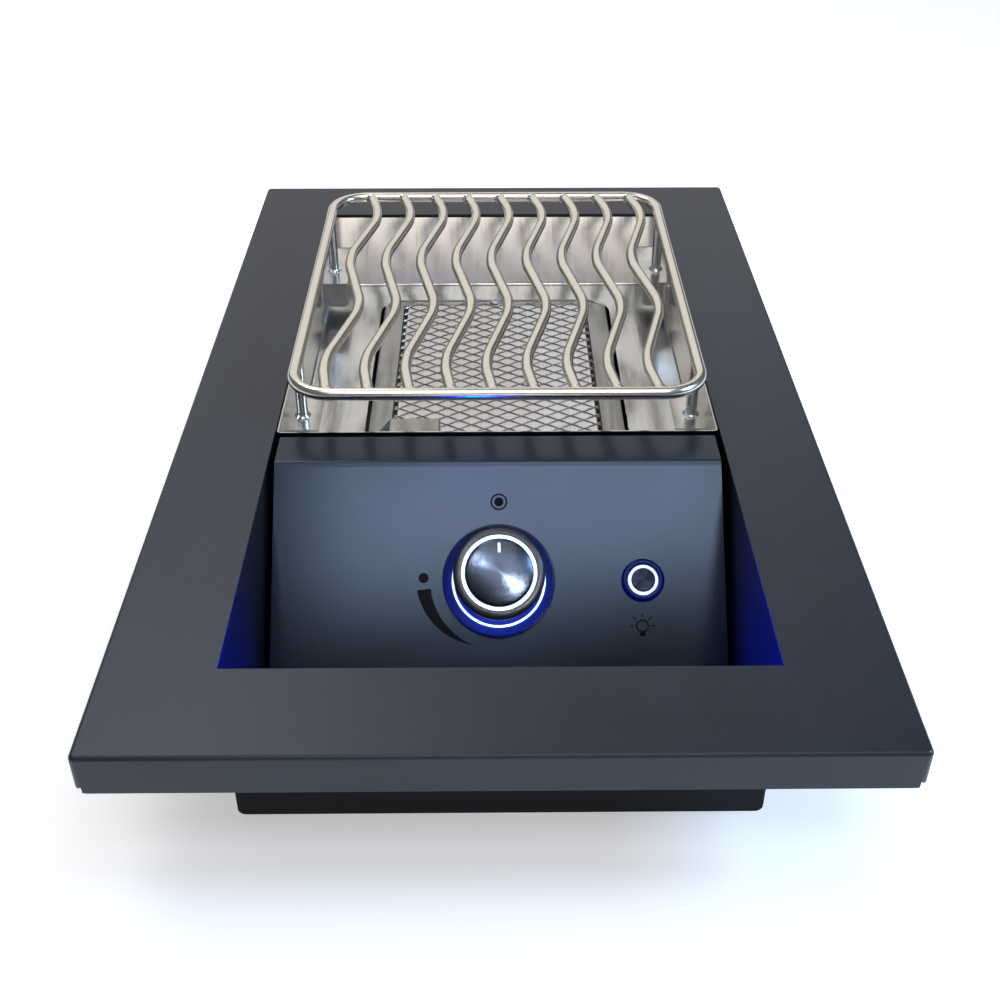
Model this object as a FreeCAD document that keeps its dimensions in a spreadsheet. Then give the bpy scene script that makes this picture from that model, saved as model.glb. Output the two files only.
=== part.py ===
import FreeCAD
import Part
import Sketcher
import math
import os
import re

# A gas side burner that drops into a counter: a folded trim frame carries a box, and in the
# box sit a sloping control panel, a stainless bowl with an infrared burner, and a lift-off grate.
# Millimetres. X to the right, Y to the back, Z up. The origin is the middle of the box's underside.

SIZES = {
    # Trim frame on the counter
    "frame_width": 336.5,
    "frame_length": 571.5,
    "frame_top": 89.0,
    "frame_lip": 19.5,
    "frame_sheet": 1.5,
    "frame_bend": 2.0,
    "frame_corner": 3.0,
    "lip_corner": 5.0,
    "opening_width": 237.0,
    "opening_length": 471.0,
    # Casing
    "casing_sheet": 1.0,
    "casing_rim": 14.0,
    "casing_bend": 3.5,
    "vent_length": 60.0,
    "vent_width": 7.0,
    "vent_pitch": 18.0,
    "vent_count": 7,
    "vent_start": 36.0,
    "vent_side": 50.0,
    # Control panel
    "panel_gap": 2.75,
    "panel_sheet": 1.2,
    "panel_sink": 2.5,
    "panel_bend": 1.8,
    "panel_back": 52.0,
    "shelf_depth": 25.0,
    "panel_angle": 45.0,
    "panel_apron": 18.0,
    "panel_foot": 12.0,
    "panel_flange": 12.0,
    "knob_drop": 62.5,
    "button_offset": 73.5,
    # Burner bowl
    "bowl_sheet": 0.8,
    "bowl_gap": 0.4,
    "bowl_front": 50.0,
    "bowl_floor": 42.0,
    "bowl_rim": 87.2,
    "bowl_back_foot": 16.5,
    "slot_gap": 2.6,
    # Grate supports
    "shelf_height": 69.0,
    "bracket_sheet": 1.2,
    "bracket_reach": 17.0,
    "bracket_drop": 17.5,
    "bracket_corner": 4.0,
    "front_bracket_start": -19.0,
    "front_bracket_length": 45.0,
    "back_bracket_start": 21.0,
    "back_bracket_tail": 3.5,
    "post_radius": 3.2,
    "post_offset": 1.15,
    "front_post": -2.5,
    "back_post": 31.0,
    # Burner
    "plate_top": 43.0,
    "plate_sheet": 1.0,
    "plate_width": 153.6,
    "plate_front": -12.0,
    "plate_back": 192.0,
    "plate_corner": 15.0,
    "seat_width": 127.0,
    "seat_front": 10.0,
    "seat_back": 185.0,
    "seat_ledge": 7.0,
    "ledge_height": 30.0,
    "plenum_floor": 9.0,
    "burner_wall": 1.0,
    "tile_gap": 3.2,
    "tile_thickness": 14.0,
    "tile_joint": 0.5,
    "screen_side": 0.6,
    "screen_skirt": 5.0,
    "screen_rim": 3.0,
    "strand_width": 1.6,
    "strand_thickness": 0.6,
    "diamond_width": 15.0,
    "diamond_length": 9.6,
    "support_width": 18.0,
    "support_sheet": 1.2,
    "front_support": 40.0,
    "back_support": 155.0,
    # Spark electrode and its hood
    "hood_sheet": 0.8,
    "hood_left": -75.0,
    "hood_shoulder": -62.0,
    "hood_right": -33.0,
    "hood_top": 59.0,
    "hood_front": -11.0,
    "hood_back": 9.0,
    "electrode_side": -50.0,
    "electrode_place": -1.0,
    "insulator_radius": 3.5,
    "insulator_collar": 5.0,
    "insulator_top": 51.0,
    "insulator_foot": 32.0,
    "electrode_radius": 1.2,
    "electrode_rise": 4.0,
    "electrode_arm": 16.0,
    "electrode_bend": 2.5,
    # Mixing tube and orifice
    "tube_radius": 9.0,
    "tube_wall": 1.0,
    "tube_axis": 19.8,
    "tube_mouth": -62.0,
    "tube_end": 24.0,
    "orifice_gap": 8.0,
    "orifice_hex": 11.0,
    "orifice_hex_length": 7.0,
    "orifice_tip": 3.2,
    "orifice_tip_length": 6.0,
    # Heat shield
    "shield_place": -45.0,
    "shield_sheet": 1.0,
    "shield_clearance": 1.0,
    # Valve, on an axis square to the panel; depths are measured in from its front
    "valve_radius": 12.0,
    "valve_front": 12.0,
    "valve_back": 40.0,
    "cap_width": 30.0,
    "cap_height": 22.0,
    "ear_sheet": 1.5,
    "ear_width": 47.0,
    "ear_height": 14.0,
    "ear_screw": 18.5,
    "plug_radius": 6.5,
    "plug_end": 34.0,
    "running_gap": 0.05,
    "stem_radius": 4.0,
    "stem_end": 17.0,
    "stem_reach": 22.0,
    "valve_inlet_depth": 22.0,
    "inlet_reach": 24.0,
    "nipple_radius": 6.5,
    # Gas line
    "pipe_radius": 4.75,
    "pipe_wall": 0.9,
    "pipe_side": 84.0,
    "pipe_bend": 22.0,
    "fitting_radius": 7.94,
    "fitting_length": 22.0,
    "fitting_bore": 4.0,
    "fitting_hex": 22.0,
    "fitting_collar": 6.0,
    "nut_thickness": 5.0,
    "fitting_inside": 10.0,
    # Knob
    "knob_radius": 22.3,
    "knob_face_height": 40.0,
    "knob_shoulder": 2.2,
    "face_radius": 16.7,
    "face_thickness": 1.2,
    "guide_radius": 18.5,
    "guide_thickness": 2.2,
    "bezel_radius": 28.6,
    "bezel_height": 6.5,
    "bezel_floor": 2.0,
    "bezel_lip": 0.6,
    "bezel_rim": 1.3,
    "bezel_inner": 23.95,
    "ring_width": 1.35,
    "ring_thickness": 1.4,
    "knob_travel": 3.5,
    "travel_spare": 0.6,
    # Push button
    "button_radius": 11.0,
    "button_head": 2.6,
    "button_bevel": 1.0,
    "button_barrel": 9.4,
    "button_depth": 24.0,
    "button_hole": 9.6,
    "button_ring": 7.75,
    "button_cap_radius": 6.1,
    "button_cap_proud": 0.6,
    "button_cap_length": 7.0,
    "button_travel": 1.5,
    "button_nut_hex": 24.0,
    # Electrics
    "spark_length": 46.0,
    "spark_width": 36.0,
    "spark_height": 22.0,
    "spark_side": 72.0,
    "spark_place": -80.0,
    "spark_ear": 8.0,
    "driver_length": 58.0,
    "driver_width": 30.0,
    "driver_height": 16.0,
    "driver_side": 62.0,
    "socket_radius": 5.8,
    "socket_side": 70.0,
    "socket_height": 24.0,
    "lead_radius": 2.0,
    "lead_bend": 14.0,
    "lead_height": 6.0,
    "lead_straight": 22.0,
    # Grate
    "grate_rod": 7.0,
    "wave_rod": 6.35,
    "grate_height": 109.0,
    "grate_inset": 8.65,
    "grate_front": -47.0,
    "grate_back": 17.5,
    "grate_corner": 22.0,
    "wave_margin": 21.45,
    "wave_count": 9,
    "wave_swing": 11.6,
    "wave_periods": 2,
    "wave_lean": 5.2,
    "wave_offset": 2.2,
    "wave_start": 1.5,
    "wave_radius": 65.0,
    "rod_flats": 8,
    "frame_flats": 12,
    # Fasteners
    "screw_radius": 2.0,
    "screw_head": 3.8,
    "screw_head_height": 1.8,
    "screw_hole": 4.4,
    "seat": 0.3,
}

document = FreeCAD.newDocument("side_burner")
sheet = document.addObject("Spreadsheet::Sheet", "Sizes")
for row, (size_name, size_value) in enumerate(SIZES.items(), start=1):
    sheet.set(f"A{row}", size_name)
    sheet.set(f"B{row}", str(size_value))
    sheet.setAlias(f"B{row}", size_name)
document.recompute()
parts = []

# Places that several pieces share, written with the sizes above.
casing_half = "(opening_width / 2 + casing_sheet)"
casing_end = "(opening_length / 2 + casing_sheet)"
rim_level = "(frame_top - frame_sheet)"
panel_top = "(frame_top - panel_sink)"
panel_edge = "(panel_back + shelf_depth)"
knob_y = f"(-{panel_edge} - knob_drop * cos(panel_angle))"
knob_z = f"({panel_top} - knob_drop * sin(panel_angle))"
bowl_half = "(opening_width / 2 - bowl_gap)"
bowl_end = "(opening_length / 2 - bowl_gap)"
seat_middle = "((seat_front + seat_back) / 2)"
panel_width = "(opening_width - panel_gap * 2)"
bowl_foot_y = "(opening_length / 2 - bowl_back_foot)"
grate_half = "(opening_width / 2 - grate_inset)"
grate_back_y = "(opening_length / 2 - grate_back)"
post_x = f"({grate_half} + post_offset)"
back_post_y = f"({grate_back_y} - back_post)"
driver_y = "((opening_length / 2 + seat_back - seat_ledge) / 2)"
orifice_y = "(tube_mouth - orifice_gap)"
valve_inlet_y = f"({knob_y} + valve_inlet_depth * sin(panel_angle))"
valve_inlet_z = f"({knob_z} - valve_inlet_depth * cos(panel_angle))"
screw_y = "((plate_back + seat_back) / 2)"
screen_level = "(ledge_height + tile_thickness + 0.3)"
orifice_seat = f"({orifice_y} - orifice_tip_length - orifice_hex_length)"
outlet_depth = f"(({knob_z} - tube_axis) / cos(panel_angle))"
outlet_y = f"({knob_y} + {outlet_depth} * sin(panel_angle))"
ear_back = "(panel_sheet + ear_sheet)"
stem_socket = "(stem_end + knob_travel + travel_spare)"
knob_rise = "(bezel_floor + ring_thickness + knob_travel + travel_spare)"
guide_floor = "(knob_face_height - guide_thickness)"
button_floor = "(button_head + button_cap_proud - button_cap_length - button_travel - travel_spare)"


def formula(text):
    """An expression on the sheet's sizes, from plain words."""
    return re.sub(r"[a-z_]\w*", lambda word: f"Sizes.{word[0]}" if word[0] in SIZES else word[0], text)


def size(text):
    """The value of such an expression, as a number."""
    return float(sheet.evalExpression(formula(text)))


def bind(item, **rules):
    """Ties properties to expressions; a double underscore stands for a dot."""
    for name, text in rules.items():
        item.setExpression(name.replace("__", "."), formula(text))


def keep(item, label):
    """Names a sub-part and puts it on the list of what is written."""
    item.Label = label
    parts.append(item)
    return item


def place(item, x="0", y="0", z="0", angle=None):
    """Puts a sub-part at a place; angle tips it back about X."""
    if angle:
        item.Placement = FreeCAD.Placement(
            FreeCAD.Vector(), FreeCAD.Rotation(FreeCAD.Vector(1, 0, 0), size(angle)))
        bind(item, Placement__Rotation__Angle=angle)
    bind(item, Placement__Base__x=x, Placement__Base__y=y, Placement__Base__z=z)


def new_body(label):
    return keep(document.addObject("PartDesign::Body", label), label)


def new_sketch(body, name, plane="XY_Plane", level=None):
    """A sketch on one of the body's own planes, lifted along its normal."""
    drawing = body.newObject("Sketcher::SketchObject", name)
    support = next(item for item in body.Origin.OriginFeatures if item.Role == plane)
    drawing.AttachmentSupport = [(support, "")]
    drawing.MapMode = "FlatFace"
    if level:
        bind(drawing, AttachmentOffset__Base__z=level)
    return drawing


def tip_sketch(drawing, y, z, angle):
    """Lays a sketch of the level plane on a slope through the point y, z."""
    drawing.AttachmentOffset = FreeCAD.Placement(
        FreeCAD.Vector(), FreeCAD.Rotation(FreeCAD.Vector(1, 0, 0), size(angle)))
    bind(drawing, AttachmentOffset__Base__y=y, AttachmentOffset__Base__z=z,
         AttachmentOffset__Rotation__Angle=angle)


def fix_point(drawing, index, which, x, y):
    for kind, text in (("DistanceX", x), ("DistanceY", y)):
        number = drawing.addConstraint(Sketcher.Constraint(kind, -1, 1, index, which, size(text)))
        drawing.setExpression(f"Constraints[{number}]", formula(text))


def outline(drawing, corners):
    """A closed outline of straight lines; each corner is a pair of expressions."""
    first = drawing.GeometryCount
    count = len(corners)
    points = [FreeCAD.Vector(size(x), size(y), 0) for x, y in corners]
    for i in range(count):
        drawing.addGeometry(Part.LineSegment(points[i], points[(i + 1) % count]), False)
    for i, (x, y) in enumerate(corners):
        following = first + (i + 1) % count
        drawing.addConstraint(Sketcher.Constraint("Coincident", first + i, 2, following, 1))
        fix_point(drawing, first + i, 1, x, y)


def rectangle(drawing, x0, x1, y0, y1):
    outline(drawing, [(x0, y0), (x1, y0), (x1, y1), (x0, y1)])


def square(drawing, x, y, across):
    rectangle(drawing, f"{x} - {across} / 2", f"{x} + {across} / 2",
              f"{y} - {across} / 2", f"{y} + {across} / 2")


def circle(drawing, x, y, radius):
    centre = FreeCAD.Vector(size(x), size(y), 0)
    index = drawing.addGeometry(Part.Circle(centre, FreeCAD.Vector(0, 0, 1), size(radius)), False)
    fix_point(drawing, index, 3, x, y)
    number = drawing.addConstraint(Sketcher.Constraint("Radius", index, size(radius)))
    drawing.setExpression(f"Constraints[{number}]", formula(radius))


def rounded_corner(drawing, side, half, low, radius):
    """What a lip's lower corner loses: a square less a quarter of a disc."""
    x, inner, high = f"{side} * {half}", f"{side} * ({half} - {radius})", f"{low} + {radius}"
    tip = FreeCAD.Vector(size(x), size(low), 0)
    foot = FreeCAD.Vector(size(inner), size(low), 0)
    top = FreeCAD.Vector(size(x), size(high), 0)
    middle = FreeCAD.Vector(foot.x, top.y, 0) + (tip - FreeCAD.Vector(foot.x, top.y, 0)) * math.sqrt(0.5)
    first = drawing.addGeometry(Part.LineSegment(tip, foot), False)
    drawing.addGeometry(Part.LineSegment(top, tip), False)
    bend = drawing.addGeometry(Part.Arc(foot, middle, top), False)
    fix_point(drawing, first, 1, x, low)
    fix_point(drawing, first, 2, inner, low)
    fix_point(drawing, first + 1, 1, x, high)
    drawing.addConstraint(Sketcher.Constraint("Coincident", first + 1, 2, first, 1))
    ends = (1, 2) if drawing.getPoint(bend, 1).distanceToPoint(foot) < 1e-6 else (2, 1)
    drawing.addConstraint(Sketcher.Constraint("Coincident", bend, ends[0], first, 2))
    drawing.addConstraint(Sketcher.Constraint("Coincident", bend, ends[1], first + 1, 1))
    number = drawing.addConstraint(Sketcher.Constraint("Radius", bend, size(radius)))
    drawing.setExpression(f"Constraints[{number}]", formula(radius))


def pad(body, drawing, length, reverse=False, both=False):
    feature = body.newObject("PartDesign::Pad", drawing.Name + "_pad")
    feature.Profile = drawing
    feature.Reversed = reverse
    feature.SideType = "Symmetric" if both else "One side"
    bind(feature, Length=length)
    document.recompute()
    return feature


def cut(body, drawing, depth, reverse=False, both=False):
    """A pocket, which must take material away."""
    before = body.Shape.Volume
    feature = body.newObject("PartDesign::Pocket", drawing.Name + "_cut")
    feature.Profile = drawing
    feature.Reversed = reverse
    feature.SideType = "Symmetric" if both else "One side"
    bind(feature, Length=depth)
    document.recompute()
    if not body.Shape.Volume < before - 1e-6:
        raise RuntimeError(f"{feature.Name} cuts nothing")
    return feature


def turn(body, drawing):
    """A solid of revolution about the sketch's upright axis."""
    feature = body.newObject("PartDesign::Revolution", drawing.Name + "_turn")
    feature.Profile = drawing
    feature.ReferenceAxis = (drawing, ["V_Axis"])
    feature.Angle = 360
    document.recompute()
    return feature


def edges_where(feature, test):
    return [f"Edge{i}" for i, edge in enumerate(feature.Shape.Edges, start=1) if test(edge)]


def round_edges(body, feature, radius, test):
    fillet = body.newObject("PartDesign::Fillet", feature.Name + "_round")
    fillet.Base = (feature, edges_where(feature, test))
    bind(fillet, Radius=radius)
    document.recompute()
    return fillet


def hollow_out(body, feature, wall, height):
    """Leaves a wall inside the outer skin and opens the face at the given height."""
    faces = [f"Face{i}" for i, face in enumerate(feature.Shape.Faces, start=1)
             if level_at(face, height)]
    shell = body.newObject("PartDesign::Thickness", feature.Name + "_shell")
    shell.Base = (feature, faces)
    shell.Reversed = True
    shell.Join = "Intersection"
    bind(shell, Value=wall)
    document.recompute()
    return shell


def repeat(body, feature, drawing, axis, length, count):
    pattern = body.newObject("PartDesign::LinearPattern", feature.Name + "_row")
    pattern.Originals = [feature]
    pattern.Direction = (drawing, [axis])
    bind(pattern, Length=length, Occurrences=count)
    body.Tip = pattern
    document.recompute()
    return pattern


def mirror(body, feature, plane="YZ_Plane"):
    copy = body.newObject("PartDesign::Mirrored", feature.Name + "_mirror")
    copy.Originals = [feature]
    copy.MirrorPlane = (next(item for item in body.Origin.OriginFeatures if item.Role == plane), [""])
    body.Tip = copy
    document.recompute()
    return copy


def runs_along(edge, axis):
    """Whether an edge is a straight line along X, Y or Z (0, 1 or 2)."""
    if not isinstance(edge.Curve, Part.Line):
        return False
    ends = edge.Vertexes[0].Point - edge.Vertexes[-1].Point
    return abs(abs(ends[axis]) - ends.Length) < 1e-6


def upright(edge):
    return runs_along(edge, 2)


def level_at(shape, height):
    box = shape.BoundBox
    return abs(box.ZMin - height) < 1e-4 and abs(box.ZMax - height) < 1e-4


def cylinder(name, radius, length, x="0", y="0", z="0", axis=(0, 0, 1)):
    rod = document.addObject("Part::Cylinder", name)
    rod.Placement.Rotation = FreeCAD.Rotation(FreeCAD.Vector(0, 0, 1), FreeCAD.Vector(*axis))
    bind(rod, Radius=radius, Height=length)
    bind(rod, Placement__Base__x=x, Placement__Base__y=y, Placement__Base__z=z)
    return rod


def box(name, x0, x1, y0, y1, z0, z1):
    block = document.addObject("Part::Box", name)
    bind(block, Length=f"({x1}) - ({x0})", Width=f"({y1}) - ({y0})", Height=f"({z1}) - ({z0})")
    bind(block, Placement__Base__x=x0, Placement__Base__y=y0, Placement__Base__z=z0)
    return block


def fuse(name, *items):
    joined = document.addObject("Part::MultiFuse", name)
    joined.Shapes = list(items)
    document.recompute()
    return joined


def subtract(name, base, tool):
    result = document.addObject("Part::Cut", name)
    result.Base = base
    result.Tool = tool
    document.recompute()
    return result


def hexagon(drawing, across, x="0", y="0"):
    """A hexagon by its size across the flats."""
    radius = f"({across}) / 2 / cos(30)"
    outline(drawing, [(f"{x} + {radius} * cos({60 * i})", f"{y} + {radius} * sin({60 * i})")
                      for i in range(6)])


# The trim frame: one sheet with its four lips folded down, open in the middle.
def make_trim_frame():
    body = new_body("trim_frame")
    base = new_sketch(body, "frame_outline", level="frame_top - frame_lip")
    rectangle(base, "-frame_width / 2", "frame_width / 2", "-frame_length / 2", "frame_length / 2")
    block = pad(body, base, "frame_lip")
    block = round_edges(body, block, "frame_corner", upright)
    round_edges(body, block, "frame_bend", lambda edge: level_at(edge, size("frame_top")))
    hollow = new_sketch(body, "frame_hollow", level="frame_top - frame_lip")
    rectangle(hollow, "-frame_width / 2 + frame_sheet", "frame_width / 2 - frame_sheet",
              "-frame_length / 2 + frame_sheet", "frame_length / 2 - frame_sheet")
    cut(body, hollow, "frame_lip - frame_sheet", reverse=True)
    opening = new_sketch(body, "frame_opening", level="frame_top")
    rectangle(opening, "-opening_width / 2", "opening_width / 2",
              "-opening_length / 2", "opening_length / 2")
    cut(body, opening, "frame_sheet * 2")
    for name, plane, half, end in (("lip_front", "XZ_Plane", "frame_width / 2", "frame_length / 2"),
                                   ("lip_side", "YZ_Plane", "frame_length / 2", "-frame_width / 2")):
        corner = new_sketch(body, name, plane, level=end)
        for side in ("-1", "1"):
            rounded_corner(corner, side, half, "frame_top - frame_lip", "lip_corner")
        first = cut(body, corner, "frame_corner", reverse=plane == "YZ_Plane")
        mirror(body, first, "XZ_Plane" if plane == "XZ_Plane" else "YZ_Plane")


# The casing: one sheet folded to a U; along each side it has a rim that the frame lies on.
def make_casing():
    body = new_body("casing")
    fold = new_sketch(body, "casing_profile", "XZ_Plane")
    inner, rim = "(opening_width / 2)", f"({casing_half} + casing_rim)"
    under = f"({rim_level} - casing_sheet)"
    outline(fold, [
        (f"-{rim}", rim_level), (f"-{rim}", under), (f"-{casing_half}", under),
        (f"-{casing_half}", "0"), (casing_half, "0"), (casing_half, under),
        (rim, under), (rim, rim_level), (inner, rim_level),
        (inner, "casing_sheet"), (f"-{inner}", "casing_sheet"), (f"-{inner}", rim_level),
    ])
    block = pad(body, fold, "opening_length", both=True)
    block = round_edges(body, block, "casing_bend",
                        lambda edge: runs_along(edge, 1) and level_at(edge, 0))
    round_edges(body, block, "casing_bend - casing_sheet",
                lambda edge: runs_along(edge, 1) and level_at(edge, size("casing_sheet")))
    vent = new_sketch(body, "floor_vent")
    for side in ("-1", "1"):
        rectangle(vent, f"{side} * vent_side - vent_length / 2", f"{side} * vent_side + vent_length / 2",
                  "vent_start", "vent_start + vent_width")
    first = cut(body, vent, "casing_sheet * 3", both=True)
    repeat(body, first, vent, "V_Axis", "vent_pitch * (vent_count - 1)", "vent_count")


# The casing's ends: sheets welded across the U, each with its rim folded outwards.
def make_casing_end(label, side):
    body = new_body(label)
    face = new_sketch(body, label + "_sheet", "XZ_Plane", level=f"-{side} * opening_length / 2")
    rectangle(face, f"-{casing_half}", casing_half, "0", rim_level)
    sheet_end = pad(body, face, "casing_sheet", reverse=side == "1")
    round_edges(body, sheet_end, "casing_bend",
                lambda edge: runs_along(edge, 1) and level_at(edge, 0))
    rim = new_sketch(body, label + "_rim", level=f"{rim_level} - casing_sheet")
    rectangle(rim, f"-{casing_half}", casing_half,
              f"{side} * opening_length / 2", f"{side} * ({casing_end} + casing_rim)")
    pad(body, rim, "casing_sheet")
    if side == "1":
        holes = new_sketch(body, "rear_holes", "XZ_Plane", level=f"-{casing_end}")
        circle(holes, "-pipe_side", valve_inlet_z, "fitting_radius + 0.3")
        circle(holes, "socket_side", "socket_height", "socket_radius + 0.3")
        cut(body, holes, "casing_sheet * 4", both=True)


# The control panel: a level shelf behind, the sloping face, and a foot on the casing's floor.
def make_control_panel():
    body = new_body("control_panel")
    side = new_sketch(body, "panel_profile", "YZ_Plane")
    foot_y = f"(-{panel_edge} - ({panel_top} - casing_sheet) / tan(panel_angle))"
    outline(side, [
        ("-panel_back", f"{panel_top} - panel_apron"),
        ("-panel_back", panel_top),
        (f"-{panel_edge}", panel_top),
        (foot_y, "casing_sheet"),
        (f"{foot_y} + panel_foot", "casing_sheet"),
        (f"{foot_y} + panel_foot", "casing_sheet + panel_sheet"),
        (f"{foot_y} + panel_sheet / tan(panel_angle / 2)", "casing_sheet + panel_sheet"),
        (f"-{panel_edge} + panel_sheet * tan(panel_angle / 2)", f"{panel_top} - panel_sheet"),
        ("-panel_back - panel_sheet", f"{panel_top} - panel_sheet"),
        ("-panel_back - panel_sheet", f"{panel_top} - panel_apron"),
    ])
    sheet_metal = pad(body, side, panel_width, both=True)
    for y, bend in ((f"-{panel_edge}", "panel_bend"), ("-panel_back", "panel_bend")):
        sheet_metal = round_edges(body, sheet_metal, bend, lambda edge: runs_along(edge, 0)
                                  and level_at(edge, size(panel_top))
                                  and abs(edge.BoundBox.YMin - size(y)) < 0.01)
    cheek = new_sketch(body, "panel_cheek", "YZ_Plane", level=f"{panel_width} / 2 - panel_sheet")
    inner_top = f"(-{panel_edge} + panel_sheet * tan(panel_angle / 2))"
    inner_foot = f"({foot_y} + panel_sheet / tan(panel_angle / 2))"
    back_step = "(panel_flange / sin(panel_angle))"
    outline(cheek, [
        (inner_foot, "casing_sheet + panel_sheet"),
        (inner_top, f"{panel_top} - panel_sheet"),
        ("-panel_back - panel_sheet", f"{panel_top} - panel_sheet"),
        ("-panel_back - panel_sheet", f"{panel_top} - panel_sheet - panel_flange"),
        (f"{inner_top} + {back_step} * 0.7", f"{panel_top} - panel_sheet - panel_flange"),
        (f"{inner_foot} + {back_step}", "casing_sheet + panel_sheet + panel_flange"),
    ])
    one = pad(body, cheek, "panel_sheet")
    mirror(body, one)
    holes = new_sketch(body, "panel_holes")
    tip_sketch(holes, knob_y, knob_z, "panel_angle")
    circle(holes, "0", "0", "stem_radius + 1.5")
    circle(holes, "button_offset", "0", "button_hole")
    for side in ("-1", "1"):
        square(holes, f"{side} * ear_screw", "0", "screw_hole")
    cut(body, holes, "panel_sheet * 4", both=True)


# The burner bowl: a folded stainless tray whose back wall leans out, slotted for the burner.
def make_burner_bowl():
    body = new_body("burner_bowl")
    under = "(bowl_floor - bowl_sheet)"
    side = new_sketch(body, "bowl_profile", "YZ_Plane")
    outline(side, [
        ("-bowl_front", under),
        (bowl_foot_y, under),
        (bowl_end, "bowl_rim"),
        ("-bowl_front", "bowl_rim"),
    ])
    pad(body, side, f"{bowl_half} * 2", both=True)
    inside = new_sketch(body, "bowl_inside", "YZ_Plane")
    outline(inside, [
        ("-bowl_front + bowl_sheet", "bowl_floor"),
        (f"{bowl_foot_y} - bowl_sheet", "bowl_floor"),
        (f"{bowl_end} - bowl_sheet", "bowl_rim + 0.01"),
        ("-bowl_front + bowl_sheet", "bowl_rim + 0.01"),
    ])
    cut(body, inside, f"({bowl_half} - bowl_sheet) * 2", both=True)
    slot = new_sketch(body, "bowl_slot", level="bowl_floor")
    rectangle(slot, "-plate_width / 2 - slot_gap", "plate_width / 2 + slot_gap",
              "plate_front - slot_gap", "plate_back + slot_gap")
    hole = cut(body, slot, "bowl_sheet * 2")
    round_edges(body, hole, "plate_corner + slot_gap",
                lambda edge: upright(edge) and edge.Length < size("bowl_sheet + 0.1")
                and abs(edge.BoundBox.XMin) < size("plate_width / 2 + slot_gap + 0.1"))


# A support bracket: a shelf with a drop flange in front and another along the bowl's wall.
def make_bracket(label, side, start, end, web_end):
    body = new_body(label)
    wall = f"({bowl_half} - bowl_sheet)"
    inner = f"({wall} - bracket_reach)"
    shelf = new_sketch(body, label + "_shelf", level="shelf_height - bracket_sheet")
    rectangle(shelf, f"{side} * {inner}", f"{side} * {wall}", start, end)
    pad(body, shelf, "bracket_sheet")
    front = new_sketch(body, label + "_drop", "XZ_Plane", level=f"-({start})")
    rectangle(front, f"{side} * {inner}", f"{side} * ({wall} - bracket_sheet * 2)",
              "shelf_height - bracket_drop", "shelf_height")
    drop = pad(body, front, "bracket_sheet", reverse=True)
    round_edges(body, drop, "bracket_corner",
                lambda edge: runs_along(edge, 1)
                and level_at(edge, size("shelf_height - bracket_drop")))
    web = new_sketch(body, label + "_web", "YZ_Plane", level=f"{side} * {wall}")
    rectangle(web, f"{start} + bracket_sheet * 3", web_end, "shelf_height - bracket_drop", "shelf_height")
    pad(body, web, "bracket_sheet", reverse=side == "1")


# The posts: four studs welded upright on the brackets; the grate's side rods rest on their tops.
def make_grate_posts():
    body = new_body("grate_posts")
    feet = new_sketch(body, "post_feet", level="shelf_height")
    for side in ("-1", "1"):
        for place_y in ("front_post", back_post_y):
            circle(feet, f"{side} * {post_x}", place_y, "post_radius")
    pad(body, feet, "grate_height - grate_rod / 2 - seat - shelf_height")


# The burner housing: a drawn pan with a flat flange, a ledge for the tiles and a plenum below.
def make_burner_housing():
    body = new_body("burner_housing")
    flange = new_sketch(body, "housing_flange", level="plate_top - plate_sheet")
    rectangle(flange, "-plate_width / 2", "plate_width / 2", "plate_front", "plate_back")
    plate = pad(body, flange, "plate_sheet")
    round_edges(body, plate, "plate_corner", upright)

    def step(name, inset, low, high, wall):
        drawing = new_sketch(body, name, level=low)
        rectangle(drawing, f"-seat_width / 2 + {inset} - {wall}", f"seat_width / 2 - {inset} + {wall}",
                  f"seat_front + {inset} - {wall}", f"seat_back - {inset} + {wall}")
        if wall == "0":
            cut(body, drawing, f"({high}) - ({low})", reverse=True)
        else:
            pad(body, drawing, f"({high}) - ({low})")

    step("housing_upper", "0", "ledge_height - burner_wall", "plate_top - plate_sheet", "burner_wall")
    step("housing_lower", "seat_ledge", "plenum_floor", "ledge_height - burner_wall", "burner_wall")
    step("housing_seat", "0", "ledge_height", "plate_top + 0.01", "0")
    step("housing_plenum", "seat_ledge", "plenum_floor + burner_wall", "ledge_height + 0.01", "0")
    port = new_sketch(body, "housing_port", "XZ_Plane", level="-(seat_front + seat_ledge)")
    circle(port, "0", "tube_axis", "tube_radius")
    cut(body, port, "burner_wall * 4", both=True)
    holes = new_sketch(body, "housing_holes", level="plate_top")
    circle(holes, "electrode_side", "electrode_place", "insulator_radius + 0.1")
    square(holes, "0", screw_y, "screw_hole")
    cut(body, holes, "plate_sheet * 2")


# The supports: two channels that hold the burner off the casing's floor.
def make_burner_support(label, middle):
    body = new_body(label)
    side = new_sketch(body, label + "_profile", "YZ_Plane")
    low, high = "casing_sheet", "plenum_floor"
    left, right = f"({middle} - support_width / 2)", f"({middle} + support_width / 2)"
    outline(side, [
        (left, low), (left, high), (right, high), (right, low),
        (f"{right} - support_sheet", low), (f"{right} - support_sheet", f"{high} - support_sheet"),
        (f"{left} + support_sheet", f"{high} - support_sheet"), (f"{left} + support_sheet", low),
    ])
    pad(body, side, "seat_width - seat_ledge * 4", both=True)


# The tiles: two slabs of perforated ceramic that stand on the housing's ledge.
def make_ceramic_tiles():
    half = "(seat_width / 2 - tile_gap)"
    spans = {
        "ceramic_tile_front": ("seat_front + tile_gap", f"{seat_middle} - tile_joint / 2"),
        "ceramic_tile_back": (f"{seat_middle} + tile_joint / 2", "seat_back - tile_gap"),
    }
    for label, (low, high) in spans.items():
        tile = box(label, f"-{half}", half, low, high, "ledge_height", "ledge_height + tile_thickness")
        keep(tile, label)


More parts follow.
